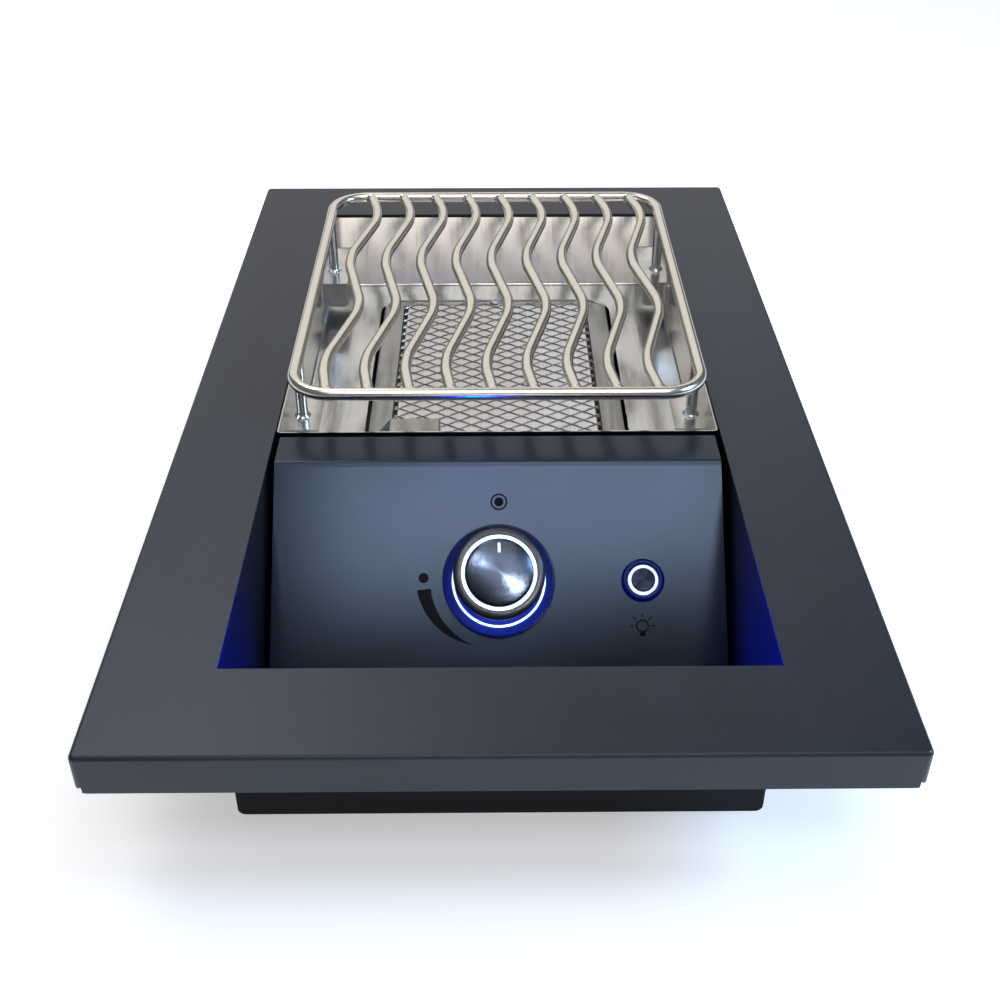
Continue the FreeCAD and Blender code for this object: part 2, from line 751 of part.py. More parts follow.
# The burner screen: expanded metal, drawn as two layers of slanting strands in a turned-down rim.
def make_burner_screen():
    body = document.addObject("PartDesign::Body", "screen_rim_body")
    half = "(seat_width / 2 - screen_side)"
    low, high = "(seat_front + screen_side)", "(seat_back - screen_side)"
    rim = new_sketch(body, "screen_rim_outline", level=screen_level)
    rectangle(rim, f"-{half}", half, low, high)
    rectangle(rim, f"-{half} + screen_rim", f"{half} - screen_rim",
              f"{low} + screen_rim", f"{high} - screen_rim")
    pad(body, rim, "strand_thickness * 2")
    skirt = new_sketch(body, "screen_skirt_outline", level=screen_level)
    rectangle(skirt, f"-{half}", half, low, high)
    rectangle(skirt, f"-{half} + strand_width / 2", f"{half} - strand_width / 2",
              f"{low} + strand_width / 2", f"{high} - strand_width / 2")
    pad(body, skirt, "screen_skirt", reverse=True)

    width = size(f"({half} - screen_rim) * 2")
    first, last = size(f"{low} + screen_rim"), size(f"{high} - screen_rim")
    level, thickness = size(screen_level), size("strand_thickness")
    slope = math.atan2(size("diamond_length"), size("diamond_width"))
    pitch = size("diamond_width") * math.sin(slope)
    window = Part.makeBox(width, last - first, 4 * thickness,
                          FreeCAD.Vector(-width / 2, first, level - thickness))
    middle = FreeCAD.Vector(0, (first + last) / 2, 0)
    reach = math.hypot(width, last - first)
    strands = []
    for layer, lean in ((0, slope), (1, -slope)):
        along = FreeCAD.Vector(math.cos(lean), math.sin(lean), 0)
        across = FreeCAD.Vector(-along.y, along.x, 0)
        steps = int(reach / 2 / pitch) + 1
        for number in range(-steps, steps + 1):
            strand = Part.makeBox(reach, size("strand_width"), thickness)
            strand.translate(FreeCAD.Vector(-reach / 2, -size("strand_width") / 2, 0))
            strand.rotate(FreeCAD.Vector(), FreeCAD.Vector(0, 0, 1), math.degrees(lean))
            strand.translate(middle + across * (number * pitch))
            strand.translate(FreeCAD.Vector(0, 0, level + layer * thickness))
            piece = strand.common(window)
            if piece.Volume > 1:
                strands.append(piece.Solids[0])
    screen = document.addObject("Part::Feature", "burner_screen")
    screen.Shape = Part.makeCompound([body.Shape.Solids[0]] + strands)
    keep(screen, "burner_screen")


# Machine screws: shanks and low pan heads, drawn standing on the seat under the heads.
def make_screws(label, spots, seat_level, length):
    body = new_body(label)
    shanks = new_sketch(body, label + "_shanks", level=seat_level)
    heads = new_sketch(body, label + "_heads", level=seat_level)
    for x, y in spots:
        circle(shanks, x, y, "screw_radius")
        circle(heads, x, y, "screw_head")
    pad(body, shanks, length, reverse=True)
    pad(body, heads, "screw_head_height")
    return body


# The electrode's hood: a bent sheet, open towards the tile and flared on its left.
def make_hood():
    body = new_body("electrode_hood")

    def wedge(name, inset):
        low, top = "(plate_top + seat)", f"hood_top - {inset}"
        side = new_sketch(body, name, "XZ_Plane", level="-hood_back")
        outline(side, [
            (f"hood_left + {inset} * 1.6", low), (f"hood_right - {inset}", low),
            (f"hood_right - {inset}", top), (f"hood_shoulder + {inset} * 0.6", top),
        ])
        return side

    pad(body, wedge("hood_outside", "0"), "hood_back - hood_front")
    cut(body, wedge("hood_inside", "hood_sheet"), "hood_back - hood_front - hood_sheet", reverse=True)


def along(points, bend):
    """A wire of straight runs joined by arcs of one radius."""
    edges = []
    start = points[0]
    for before, corner, after in zip(points, points[1:], points[2:]):
        back = (before - corner).normalize()
        onward = (after - corner).normalize()
        half = back.getAngle(onward) / 2
        inward = (back + onward).normalize()
        first = corner + back * (bend / math.tan(half))
        last = corner + onward * (bend / math.tan(half))
        middle = corner + inward * (bend / math.sin(half) - bend)
        edges.append(Part.LineSegment(start, first).toShape())
        edges.append(Part.Arc(first, middle, last).toShape())
        start = last
    edges.append(Part.LineSegment(start, points[-1]).toShape())
    return Part.Wire(edges)


def section(path, radius, flats):
    """A regular polygon of a round bar's area, square to the start of a path."""
    begin = path.Edges[0]
    point = begin.valueAt(begin.FirstParameter)
    heading = begin.tangentAt(begin.FirstParameter)
    across = heading.cross(FreeCAD.Vector(0, 0, 1))
    if across.Length < 0.5:
        across = FreeCAD.Vector(1, 0, 0)
    up = across.cross(heading)
    reach = radius * math.sqrt(2 * math.pi / flats / math.sin(2 * math.pi / flats))
    corners = []
    for flat in range(flats + 1):
        angle = 2 * math.pi * (flat + 0.5) / flats
        corners.append(point + across * (reach * math.cos(angle)) + up * (reach * math.sin(angle)))
    return Part.makePolygon(corners)


def swept(path, radius, flats, wall=0):
    """A bar along a wire, or a tube with a wall; its round is drawn with flats to keep it light."""
    bar = path.makePipeShell([section(path, radius, flats)], True, False)
    if wall:
        bar = bar.cut(path.makePipeShell([section(path, radius - wall, flats)], True, False))
    return bar


# The mixing tube: steel tube from just behind the orifice into the plenum.
def make_mixing_tube():
    body = new_body("mixing_tube")
    ring = new_sketch(body, "tube_ring", "XZ_Plane", level="-tube_mouth")
    circle(ring, "0", "tube_axis", "tube_radius")
    circle(ring, "0", "tube_axis", "tube_radius - tube_wall")
    pad(body, ring, "tube_end - tube_mouth", reverse=True)


# The orifice: a brass hexagon with a drilled tip that points into the mixing tube.
def make_gas_orifice():
    body = new_body("gas_orifice")
    flats = new_sketch(body, "orifice_flats")
    hexagon(flats, "orifice_hex")
    pad(body, flats, "orifice_hex_length")
    tip = new_sketch(body, "orifice_tip_outline", level="orifice_hex_length")
    circle(tip, "0", "0", "orifice_tip")
    pad(body, tip, "orifice_tip_length")
    jet = new_sketch(body, "orifice_jet", level="orifice_hex_length + orifice_tip_length")
    circle(jet, "0", "0", "orifice_tip / 3")
    cut(body, jet, "orifice_tip_length")
    place(body, y=orifice_seat, z="tube_axis", angle="-90")


# The heat shield: an upright sheet before the burner, notched from below for pipe, lead and tube.
def make_heat_shield():
    body = new_body("heat_shield")
    face = new_sketch(body, "shield_outline", "XZ_Plane", level="-shield_place")
    low = "casing_sheet"
    half = "(opening_width / 2 - casing_bend)"
    corners = [(f"-{half}", "bowl_floor - bowl_sheet - seat"), (f"-{half}", low)]
    for x, height, radius in (("-pipe_side", valve_inlet_z, "pipe_radius"),
                              ("electrode_side", "lead_height", "lead_radius"),
                              ("0", "tube_axis", "tube_radius")):
        reach = f"({radius} + shield_clearance)"
        corners += [(f"{x} - {reach}", low), (f"{x} - {reach}", f"{height} + {reach}"),
                    (f"{x} + {reach}", f"{height} + {reach}"), (f"{x} + {reach}", low)]
    outline(face, corners + [(half, low), (half, "bowl_floor - bowl_sheet - seat")])
    pad(body, face, "shield_sheet", reverse=True)


# The electrode: a glazed insulator in the burner's flange; its rod bends over towards the tile.
def make_electrode():
    body = new_body("electrode_insulator")
    stalk = new_sketch(body, "insulator_outline", level="insulator_foot")
    circle(stalk, "0", "0", "insulator_radius")
    pad(body, stalk, "insulator_top - insulator_foot")
    collar = new_sketch(body, "insulator_collar_outline", level="plate_top")
    circle(collar, "0", "0", "insulator_collar")
    pad(body, collar, "insulator_collar / 2")
    place(body, x="electrode_side", y="electrode_place")
    foot = FreeCAD.Vector(size("electrode_side"), size("electrode_place"), size("insulator_top"))
    corner = foot + FreeCAD.Vector(0, 0, size("electrode_rise"))
    tip = corner + FreeCAD.Vector(0, size("electrode_arm"), 0)
    rod = document.addObject("Part::Feature", "electrode_rod")
    rod.Shape = swept(along([foot, corner, tip], size("electrode_bend")), size("electrode_radius"),
                      int(size("rod_flats")))
    keep(rod, "electrode_rod")


# The valve body: a brass block square to the panel, an outlet to the orifice, an inlet at its side.
def make_valve_body():
    block = document.addObject("PartDesign::Body", "valve_block")
    half = "valve_radius"
    front = new_sketch(block, "valve_block_front", level="-valve_front")
    square(front, "0", "0", "valve_radius * 2")
    circle(front, "0", "0", "plug_radius + running_gap")
    pad(block, front, "plug_end + seat - valve_front", reverse=True)
    rear = new_sketch(block, "valve_block_rear", level="-plug_end - seat")
    square(rear, "0", "0", "valve_radius * 2")
    pad(block, rear, "valve_back - plug_end - seat", reverse=True)
    inlet = new_sketch(block, "valve_inlet_nut", "YZ_Plane", level=f"-{half}")
    hexagon(inlet, "nipple_radius * 2", "0", "-valve_inlet_depth")
    pad(block, inlet, f"inlet_reach - {half}", reverse=True)
    place(block, y=knob_y, z=knob_z, angle="panel_angle")
    outlet = cylinder("valve_outlet", "nipple_radius", f"{orifice_seat} - {outlet_y}",
                      y=outlet_y, z="tube_axis", axis=(0, 1, 0))
    bore = cylinder("valve_bore", "plug_radius + running_gap", "plug_end + seat - valve_front")
    place(bore, y=f"{knob_y} + (plug_end + seat) * sin(panel_angle)",
          z=f"{knob_z} - (plug_end + seat) * cos(panel_angle)", angle="panel_angle")
    keep(subtract("valve_body", fuse("valve_casting", block, outlet), bore), "valve_body")


# The valve cap: closes the block, guides the stem, and has two ears that are screwed to the panel.
def make_valve_cap():
    body = new_body("valve_cap")
    ears = new_sketch(body, "cap_ears", level="-panel_sheet")
    rectangle(ears, "-ear_width / 2", "ear_width / 2", "-ear_height / 2", "ear_height / 2")
    face = new_sketch(body, "cap_outline", level=f"-{ear_back}")
    rectangle(face, "-cap_width / 2", "cap_width / 2", "-cap_height / 2", "cap_height / 2")
    for drawing in (ears, face):
        circle(drawing, "0", "0", "stem_radius + running_gap")
    for side in ("-1", "1"):
        square(ears, f"{side} * ear_screw", "0", "screw_hole")
    pad(body, ears, "ear_sheet", reverse=True)
    pad(body, face, f"valve_front - {ear_back}", reverse=True)
    place(body, y=knob_y, z=knob_z, angle="panel_angle")


# The plug: turns in the barrel and carries the cross port; the stem slides in its socket.
def make_valve_plug():
    body = new_body("valve_plug")
    front = "(valve_front + seat)"
    side = new_sketch(body, "plug_profile", "XZ_Plane")
    outline(side, [
        ("0", "-plug_end"), ("plug_radius", "-plug_end"), ("plug_radius", f"-{front}"),
        ("stem_radius + running_gap", f"-{front}"), ("stem_radius + running_gap", f"-{stem_socket}"),
        ("0", f"-{stem_socket}"),
    ])
    turn(body, side)
    port = new_sketch(body, "plug_port", "YZ_Plane")
    square(port, "0", f"-({stem_socket} + plug_end) / 2", "plug_radius / 2")
    cut(body, port, "plug_radius * 3", both=True)
    place(body, y=knob_y, z=knob_z, angle="panel_angle")


# The stem: a steel shaft with a flat where the knob is pushed on.
def make_valve_stem():
    body = new_body("valve_stem")
    foot = new_sketch(body, "stem_outline", level="-stem_end")
    circle(foot, "0", "0", "stem_radius")
    pad(body, foot, "stem_end + stem_reach")
    flat = new_sketch(body, "stem_flat", level="stem_reach")
    rectangle(flat, "-stem_radius", "stem_radius", "stem_radius * 0.6", "stem_radius + 1")
    cut(body, flat, f"stem_reach - {knob_rise}")
    place(body, y=knob_y, z=knob_z, angle="panel_angle")


# The gas line: bulkhead fitting and lock nut in the rear wall, then bent tube to the valve.
def make_gas_line():
    inner_end = "(opening_length / 2)"
    collar = cylinder("fitting_thread", "fitting_radius", "fitting_length + fitting_inside",
                      "-pipe_side", f"{inner_end} - fitting_inside", valve_inlet_z, (0, 1, 0))
    hexes = document.addObject("PartDesign::Body", "fitting_hex_body")
    flats = new_sketch(hexes, "fitting_flats")
    hexagon(flats, "fitting_hex")
    pad(hexes, flats, "fitting_collar")
    place(hexes, "-pipe_side", f"{inner_end} + casing_sheet", valve_inlet_z, "-90")
    bore = cylinder("fitting_bore_tool", "fitting_bore", "fitting_length + fitting_inside",
                    "-pipe_side", f"{inner_end} - fitting_inside", valve_inlet_z, (0, 1, 0))
    keep(subtract("inlet_fitting", fuse("fitting_blank", collar, hexes), bore), "inlet_fitting")

    nut = new_body("inlet_nut")
    face = new_sketch(nut, "nut_outline")
    hexagon(face, "fitting_hex")
    circle(face, "0", "0", "fitting_radius + running_gap")
    pad(nut, face, "nut_thickness")
    place(nut, "-pipe_side", f"{inner_end} - nut_thickness", valve_inlet_z, "-90")

    level = size(valve_inlet_z)
    corner = FreeCAD.Vector(-size("pipe_side"), size(valve_inlet_y), level)
    start = FreeCAD.Vector(corner.x, size(f"{inner_end} - fitting_inside"), level)
    end = FreeCAD.Vector(-size("inlet_reach"), corner.y, level)
    pipe = document.addObject("Part::Feature", "gas_pipe")
    pipe.Shape = swept(along([start, corner, end], size("pipe_bend")), size("pipe_radius"),
                       int(size("frame_flats")), size("pipe_wall"))
    keep(pipe, "gas_pipe")


# The knob: a turned body with a recess in front for the light guide and the polished cap.
def make_knob():
    body = new_body("knob")
    side = new_sketch(body, "knob_profile", "XZ_Plane")
    bore = "(stem_radius + running_gap)"
    outline(side, [
        (bore, knob_rise), ("knob_radius", knob_rise),
        ("knob_radius", "knob_face_height - knob_shoulder"),
        ("knob_radius - knob_shoulder", "knob_face_height"),
        ("guide_radius + running_gap", "knob_face_height"),
        ("guide_radius + running_gap", guide_floor), ("0", guide_floor),
        ("0", "stem_reach + seat"), (bore, "stem_reach + seat"),
    ])
    turn(body, side)
    place(body, y=knob_y, z=knob_z, angle="panel_angle")
    guide = cylinder("knob_light_guide", "guide_radius", "guide_thickness")
    face = cylinder("knob_face", "face_radius", "face_thickness")
    for item, height in ((guide, guide_floor), (face, "knob_face_height")):
        place(item, y=f"{knob_y} - {height} * sin(panel_angle)",
              z=f"{knob_z} + {height} * cos(panel_angle)", angle="panel_angle")
        keep(item, item.Name)


# The bezel: a dish round the knob, with its lit ring on the dish's floor.
def make_bezel():
    body = new_body("knob_bezel")
    face = new_sketch(body, "bezel_profile", "XZ_Plane")
    outline(face, [
        ("stem_radius + 1.5", "0"), ("bezel_radius", "0"),
        ("bezel_radius", "bezel_height - bezel_lip"), ("bezel_radius - bezel_lip", "bezel_height"),
        ("bezel_radius - bezel_rim", "bezel_height"),
        ("bezel_inner", "bezel_floor + ring_thickness"), ("bezel_inner", "bezel_floor"),
        ("stem_radius + 1.5", "bezel_floor"),
    ])
    turn(body, face)
    holes = new_sketch(body, "bezel_holes", level="bezel_floor")
    for side in ("-1", "1"):
        square(holes, f"{side} * ear_screw", "0", "screw_hole")
    cut(body, holes, "bezel_floor * 2")
    place(body, y=knob_y, z=knob_z, angle="panel_angle")
    ring = new_body("bezel_light_ring")
    flat = new_sketch(ring, "bezel_ring_outline", level="bezel_floor")
    circle(flat, "0", "0", "bezel_inner - running_gap")
    circle(flat, "0", "0", "bezel_inner - ring_width")
    pad(ring, flat, "ring_thickness")
    place(ring, y=knob_y, z=knob_z, angle="panel_angle")


# The push button: a metal head on a threaded barrel, a lit ring, and a cap that travels.
def make_button():
    housing = new_body("button_housing")
    side = new_sketch(housing, "button_profile", "XZ_Plane")
    cup = "(button_ring + running_gap)"
    outline(side, [
        ("0", "-button_depth"), ("button_barrel", "-button_depth"), ("button_barrel", "0"),
        ("button_radius", "0"), ("button_radius", "button_head - button_bevel"),
        ("button_radius - button_bevel", "button_head"), (cup, "button_head"),
        (cup, button_floor), ("0", button_floor),
    ])
    turn(housing, side)
    ring = new_body("button_light_ring")
    tube = new_sketch(ring, "button_ring_outline", level=button_floor)
    circle(tube, "0", "0", "button_ring")
    circle(tube, "0", "0", "button_cap_radius + running_gap * 2")
    pad(ring, tube, f"button_head - {button_floor}")
    nut = new_body("button_nut")
    flats = new_sketch(nut, "button_nut_outline", level="-panel_sheet - nut_thickness * 0.6")
    hexagon(flats, "button_nut_hex")
    circle(flats, "0", "0", "button_barrel + running_gap")
    pad(nut, flats, "nut_thickness * 0.6")
    cap = new_body("button_cap")
    disc = new_sketch(cap, "button_cap_outline", level="button_head + button_cap_proud")
    circle(disc, "0", "0", "button_cap_radius")
    pad(cap, disc, "button_cap_length", reverse=True)
    for item in (housing, ring, nut, cap):
        place(item, "button_offset", knob_y, knob_z, "panel_angle")


# The spark box, bolted to the casing's floor, with a terminal for the lead on its left.
def make_spark_module():
    body = new_body("spark_module")
    foot = new_sketch(body, "spark_foot", level="casing_sheet")
    left, right = "(spark_side - spark_width / 2)", "(spark_side + spark_width / 2)"
    low, high = "(spark_place - spark_length / 2)", "(spark_place + spark_length / 2)"
    rectangle(foot, left, right, low, high)
    case = pad(body, foot, "spark_height")
    round_edges(body, case, "screw_radius", upright)
    ears = new_sketch(body, "spark_ears", level="casing_sheet")
    rectangle(ears, f"{left} + spark_ear", f"{right} - spark_ear",
              f"{low} - spark_ear", f"{high} + spark_ear")
    pad(body, ears, "support_sheet * 2")
    boss = new_sketch(body, "spark_terminal", "YZ_Plane", level=left)
    circle(boss, "spark_place", "lead_height", "lead_radius * 2")
    pad(body, boss, "lead_radius * 3", reverse=True)


# The light driver at the back, and the low-voltage socket in the rear wall beside it.
def make_light_supply():
    body = new_body("light_driver")
    base = new_sketch(body, "driver_outline", level="casing_sheet")
    rectangle(base, "driver_side - driver_length / 2", "driver_side + driver_length / 2",
              f"{driver_y} - driver_width / 2", f"{driver_y} + driver_width / 2")
    case = pad(body, base, "driver_height")
    round_edges(body, case, "screw_radius", upright)
    jack = new_body("power_socket")
    side = new_sketch(jack, "socket_profile", "XZ_Plane")
    outline(side, [
        ("socket_radius * 0.45", "-11"), ("socket_radius", "-11"), ("socket_radius", "0"),
        ("socket_radius * 1.4", "0"), ("socket_radius * 1.4", "2"), ("socket_radius * 0.45", "2"),
    ])
    turn(jack, side)
    place(jack, "socket_side", casing_end, "socket_height", "-90")


# The ignition lead: from the spark box along the floor, through the shield, up to the electrode.
def make_ignition_lead():
    height = size("lead_height")
    start = FreeCAD.Vector(size("spark_side - spark_width / 2 - lead_radius * 3"),
                           size("spark_place"), height)
    side, end_y = size("electrode_side"), size("electrode_place")
    points = [
        start,
        start - FreeCAD.Vector(size("lead_straight"), 0, 0),
        FreeCAD.Vector(side, size("shield_place") - size("lead_bend"), height),
        FreeCAD.Vector(side, end_y, height),
        FreeCAD.Vector(side, end_y, size("insulator_foot")),
    ]
    lead = document.addObject("Part::Feature", "ignition_lead")
    lead.Shape = swept(along(points, size("lead_bend")), size("lead_radius"), int(size("rod_flats")))
    keep(lead, "ignition_lead")


# The grate's frame: one round bar bent to a rounded rectangle, in two halves welded in line.
def make_grate_frame():
    half, bend = size(grate_half), size("grate_corner")
    front, back, height = size("grate_front"), size(grate_back_y), size("grate_height")
    halves = []
    for side in (-1, 1):
        points = [FreeCAD.Vector(x, y, height)
                  for x, y in ((0, front), (side * half, front), (side * half, back), (0, back))]
        halves.append(swept(along(points, bend), size("grate_rod / 2"), int(size("frame_flats"))))
    frame = document.addObject("Part::Feature", "grate_frame")
    frame.Shape = halves[0].fuse(halves[1]).removeSplitter()
    return keep(frame, "grate_frame")


# The wave rods: bars of equal waves from the front bar to the back bar, leaning a little to the right.
def make_grate_rods():
    run = size(f"{grate_back_y} - grate_front")
    middle_y = size(f"({grate_back_y} + grate_front) / 2")
    half_wave = run / (2 * size("wave_periods"))
    swing, bend = size("wave_swing"), size("wave_radius")
    # Slope of the straight flank that joins two bends of this radius over this swing.
    slope = (math.atan2(half_wave, 2 * bend - swing)
             - math.acos(2 * bend / math.hypot(half_wave, 2 * bend - swing)))
    reach = swing / 2 + bend * (1 / math.cos(slope) - 1)
    lean = size("wave_lean") / run
    inner_half = size(f"{grate_half} - grate_rod / 2")
    inner_bend = size("grate_corner - grate_rod / 2")

    def end_of(x):
        """How far from the middle the frame's inner face leaves room for a rod's end at x."""
        over = max(0, abs(x) + size("wave_rod / 2") - (inner_half - inner_bend))
        drop = inner_bend - math.sqrt(inner_bend ** 2 - over ** 2)
        return run / 2 - size("grate_rod / 2 + seat") - drop

    pitch = size(f"({grate_half} - wave_margin) * 2 / (wave_count - 1)")
    rods = []
    for number in range(int(size("wave_count"))):
        middle = (number - (size("wave_count") - 1) / 2) * pitch + size("wave_offset")

        def point(from_middle, offset=0):
            return FreeCAD.Vector(middle + lean * from_middle + offset, middle_y + from_middle,
                                  size("grate_height"))

        front, back = -run / 2, run / 2
        crests = [point(front + (crest + 0.5) * half_wave, reach if crest % 2 else -reach)
                  for crest in range(int(size("wave_periods")) * 2)]
        start = size("wave_start")
        path = along([point(front, -start)] + crests + [point(back, -start)], bend)
        rod = swept(path, size("wave_rod / 2"), int(size("rod_flats")))
        low, high = end_of(point(front, -start).x), end_of(point(back, -start).x)
        window = Part.makeBox(run, low + high, run, FreeCAD.Vector(middle - run / 2, middle_y - low, 0))
        rods.append(rod.common(window).Solids[0])
    grate = document.addObject("Part::Feature", "grate_rods")
    grate.Shape = Part.makeCompound(rods)
    keep(grate, "grate_rods")


make_trim_frame()
make_casing()
make_casing_end("casing_front", "-1")
make_casing_end("casing_back", "1")
make_control_panel()
make_burner_bowl()
front_end = "front_bracket_start + front_bracket_length"
back_end = f"{bowl_foot_y} + back_bracket_tail"
web_end = f"{bowl_foot_y} - bowl_sheet - seat"
back_start = f"({back_post_y} - back_bracket_start)"
make_bracket("bracket_front_left", "-1", "front_bracket_start", front_end, front_end)
make_bracket("bracket_front_right", "1", "front_bracket_start", front_end, front_end)
make_bracket("bracket_back_left", "-1", back_start, back_end, web_end)
make_bracket("bracket_back_right", "1", back_start, back_end, web_end)
make_grate_posts()
make_burner_housing()
make_burner_support("burner_support_front", "front_support")
make_burner_support("burner_support_back", "back_support")
make_ceramic_tiles()
make_burner_screen()
make_screws("burner_screw", [("0", screw_y)], "plate_top", "plate_sheet * 3")
make_hood()
make_electrode()
make_mixing_tube()
make_gas_orifice()
make_heat_shield()
make_valve_body()
make_valve_cap()
panel_screws = make_screws("panel_screws", [("-ear_screw", "0"), ("ear_screw", "0")], "bezel_floor",
                           "bezel_floor + panel_sheet + ear_sheet * 2")
place(panel_screws, y=knob_y, z=knob_z, angle="panel_angle")
make_valve_plug()
make_valve_stem()
make_gas_line()
make_knob()
make_bezel()
make_button()
make_spark_module()
make_light_supply()
make_ignition_lead()
make_grate_frame()
make_grate_rods()

document.recompute()
for item in document.Objects:
    if "Invalid" in item.State or "Error" in item.State:
        raise RuntimeError(f"{item.Name} failed: {item.State}")
for item in parts:
    if item.Shape.isNull() or not item.Shape.isValid() or not item.Shape.Solids:
        raise RuntimeError(f"{item.Label} has no valid solid")
os.makedirs("parts", exist_ok=True)
for item in parts:
    item.Shape.exportStep(f"parts/{item.Label}.step")
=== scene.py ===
import math
import bmesh
import bpy
from mathutils import Matrix, Vector


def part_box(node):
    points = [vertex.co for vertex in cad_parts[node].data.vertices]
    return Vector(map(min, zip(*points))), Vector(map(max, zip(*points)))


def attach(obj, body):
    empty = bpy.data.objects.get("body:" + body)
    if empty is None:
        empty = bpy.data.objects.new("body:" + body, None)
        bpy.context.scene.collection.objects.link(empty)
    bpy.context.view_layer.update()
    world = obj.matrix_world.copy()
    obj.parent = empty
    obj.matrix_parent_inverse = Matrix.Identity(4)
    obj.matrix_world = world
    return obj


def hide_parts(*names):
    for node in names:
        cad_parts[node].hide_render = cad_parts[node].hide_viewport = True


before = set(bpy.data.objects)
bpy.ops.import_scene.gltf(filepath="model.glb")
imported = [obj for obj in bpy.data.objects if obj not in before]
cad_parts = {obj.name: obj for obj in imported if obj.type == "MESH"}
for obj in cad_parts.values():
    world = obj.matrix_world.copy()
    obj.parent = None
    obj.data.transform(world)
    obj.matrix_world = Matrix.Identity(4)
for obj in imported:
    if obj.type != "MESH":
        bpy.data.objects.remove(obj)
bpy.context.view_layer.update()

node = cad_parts

# The camera stands close in front of the burner and looks down on it at 35.5 degrees, a hair to
# the left of its middle and turned a hair to the right. The picture is square.
tilt_down, turn_right = 0.61968, -0.00875
bpy.ops.object.camera_add(location=(-0.00386, -0.63586, 0.46034),
                          rotation=(math.pi / 2 - tilt_down, 0, turn_right))
camera = bpy.context.object
camera.data.lens = 46.71
camera.data.sensor_width = 36
camera.data.clip_start = 0.02
bpy.context.scene.camera = camera

# The studio: a pale floor that runs out of sight, dim white air and soft boxes. The panel mirrors
# the lower edge of its own box, so it is bright above and dark at its foot. The trim frame and
# the bowl mirror the wide warm backdrop, and a blue box stands on the right.
bpy.context.scene.view_settings.view_transform = "Standard"
bpy.ops.mesh.primitive_plane_add(size=12, location=(0, 1.5, 0))
floor = bpy.context.object
floor.name = "floor"
floor_paint = bpy.data.materials.new("floor_paint")
floor_paint.use_nodes = True
floor_shader = floor_paint.node_tree.nodes["Principled BSDF"]
for key, value in (("Base Color", (0.9, 0.9, 0.9, 1)), ("Roughness", 0.9),
                   ("Emission Color", (1, 1, 1, 1)), ("Emission Strength", 0.45)):
    floor_shader.inputs[key].default_value = value
floor.data.materials.append(floor_paint)

air = bpy.data.worlds.new("air")
air.use_nodes = True
air.node_tree.nodes["Background"].inputs["Color"].default_value = (0.93, 0.95, 1.0, 1)
air.node_tree.nodes["Background"].inputs["Strength"].default_value = 0.15
bpy.context.scene.world = air


def soft_box(name, place, wide, deep, power, colour, aim=(0, -0.1, 0.05)):
    """A rectangular soft box, sizes in metres and power in watts, that faces the point it aims
    at."""
    bpy.ops.object.light_add(type="AREA", location=place)
    box = bpy.context.object
    box.name = name
    box.data.shape = "RECTANGLE"
    box.data.size, box.data.size_y = wide, deep
    box.data.energy, box.data.color = power, colour
    box.rotation_euler = (Vector(aim) - Vector(place)).to_track_quat("-Z", "Y").to_euler()


soft_box("panel_box", (0.085, -0.965, 1.309), 0.8, 0.31, 4.2, (0.88, 0.92, 1.03),
         aim=(0, -0.14, 0.056))
soft_box("low_front", (0.0, -1.53, 0.51), 0.35, 0.25, 0.6, (1.0, 0.92, 0.83))
soft_box("overhead", (0.0, -0.23, 1.54), 1.2, 0.9, 4.8, (1.0, 0.99, 0.97))
soft_box("key_box", (-0.59, 0.75, 1.52), 0.8, 0.5, 6.1, (0.98, 0.98, 1.0))
soft_box("side_box", (1.13, -0.3, 0.85), 0.4, 0.4, 15.0, (0.43, 0.67, 1.0))
soft_box("backdrop", (-0.3, 1.75, 1.15), 2.6, 1.6, 9.5, (1.0, 0.97, 0.92))


# The trim frame: folded sheet steel, powder coated satin black with a fine sparkle in it.
# It is one sheet, so it keeps the CAD node's form, and only the coat is made here.
class Flow:
    """A socket of a finish. A sum that it stands in adds the Math node that works it out."""

    def __init__(self, finish, socket):
        self.finish = finish
        self.socket = socket

    def work(self, operation, first, second):
        return self.finish.add("ShaderNodeMath", {"operation": operation}, {0: first, 1: second})

    def __add__(self, other):
        return self.work("ADD", self, other)

    def __rsub__(self, other):
        return self.work("SUBTRACT", other, self)

    def __mul__(self, other):
        return self.work("MULTIPLY", self, other)

    def __gt__(self, other):
        return self.work("GREATER_THAN", self, other)


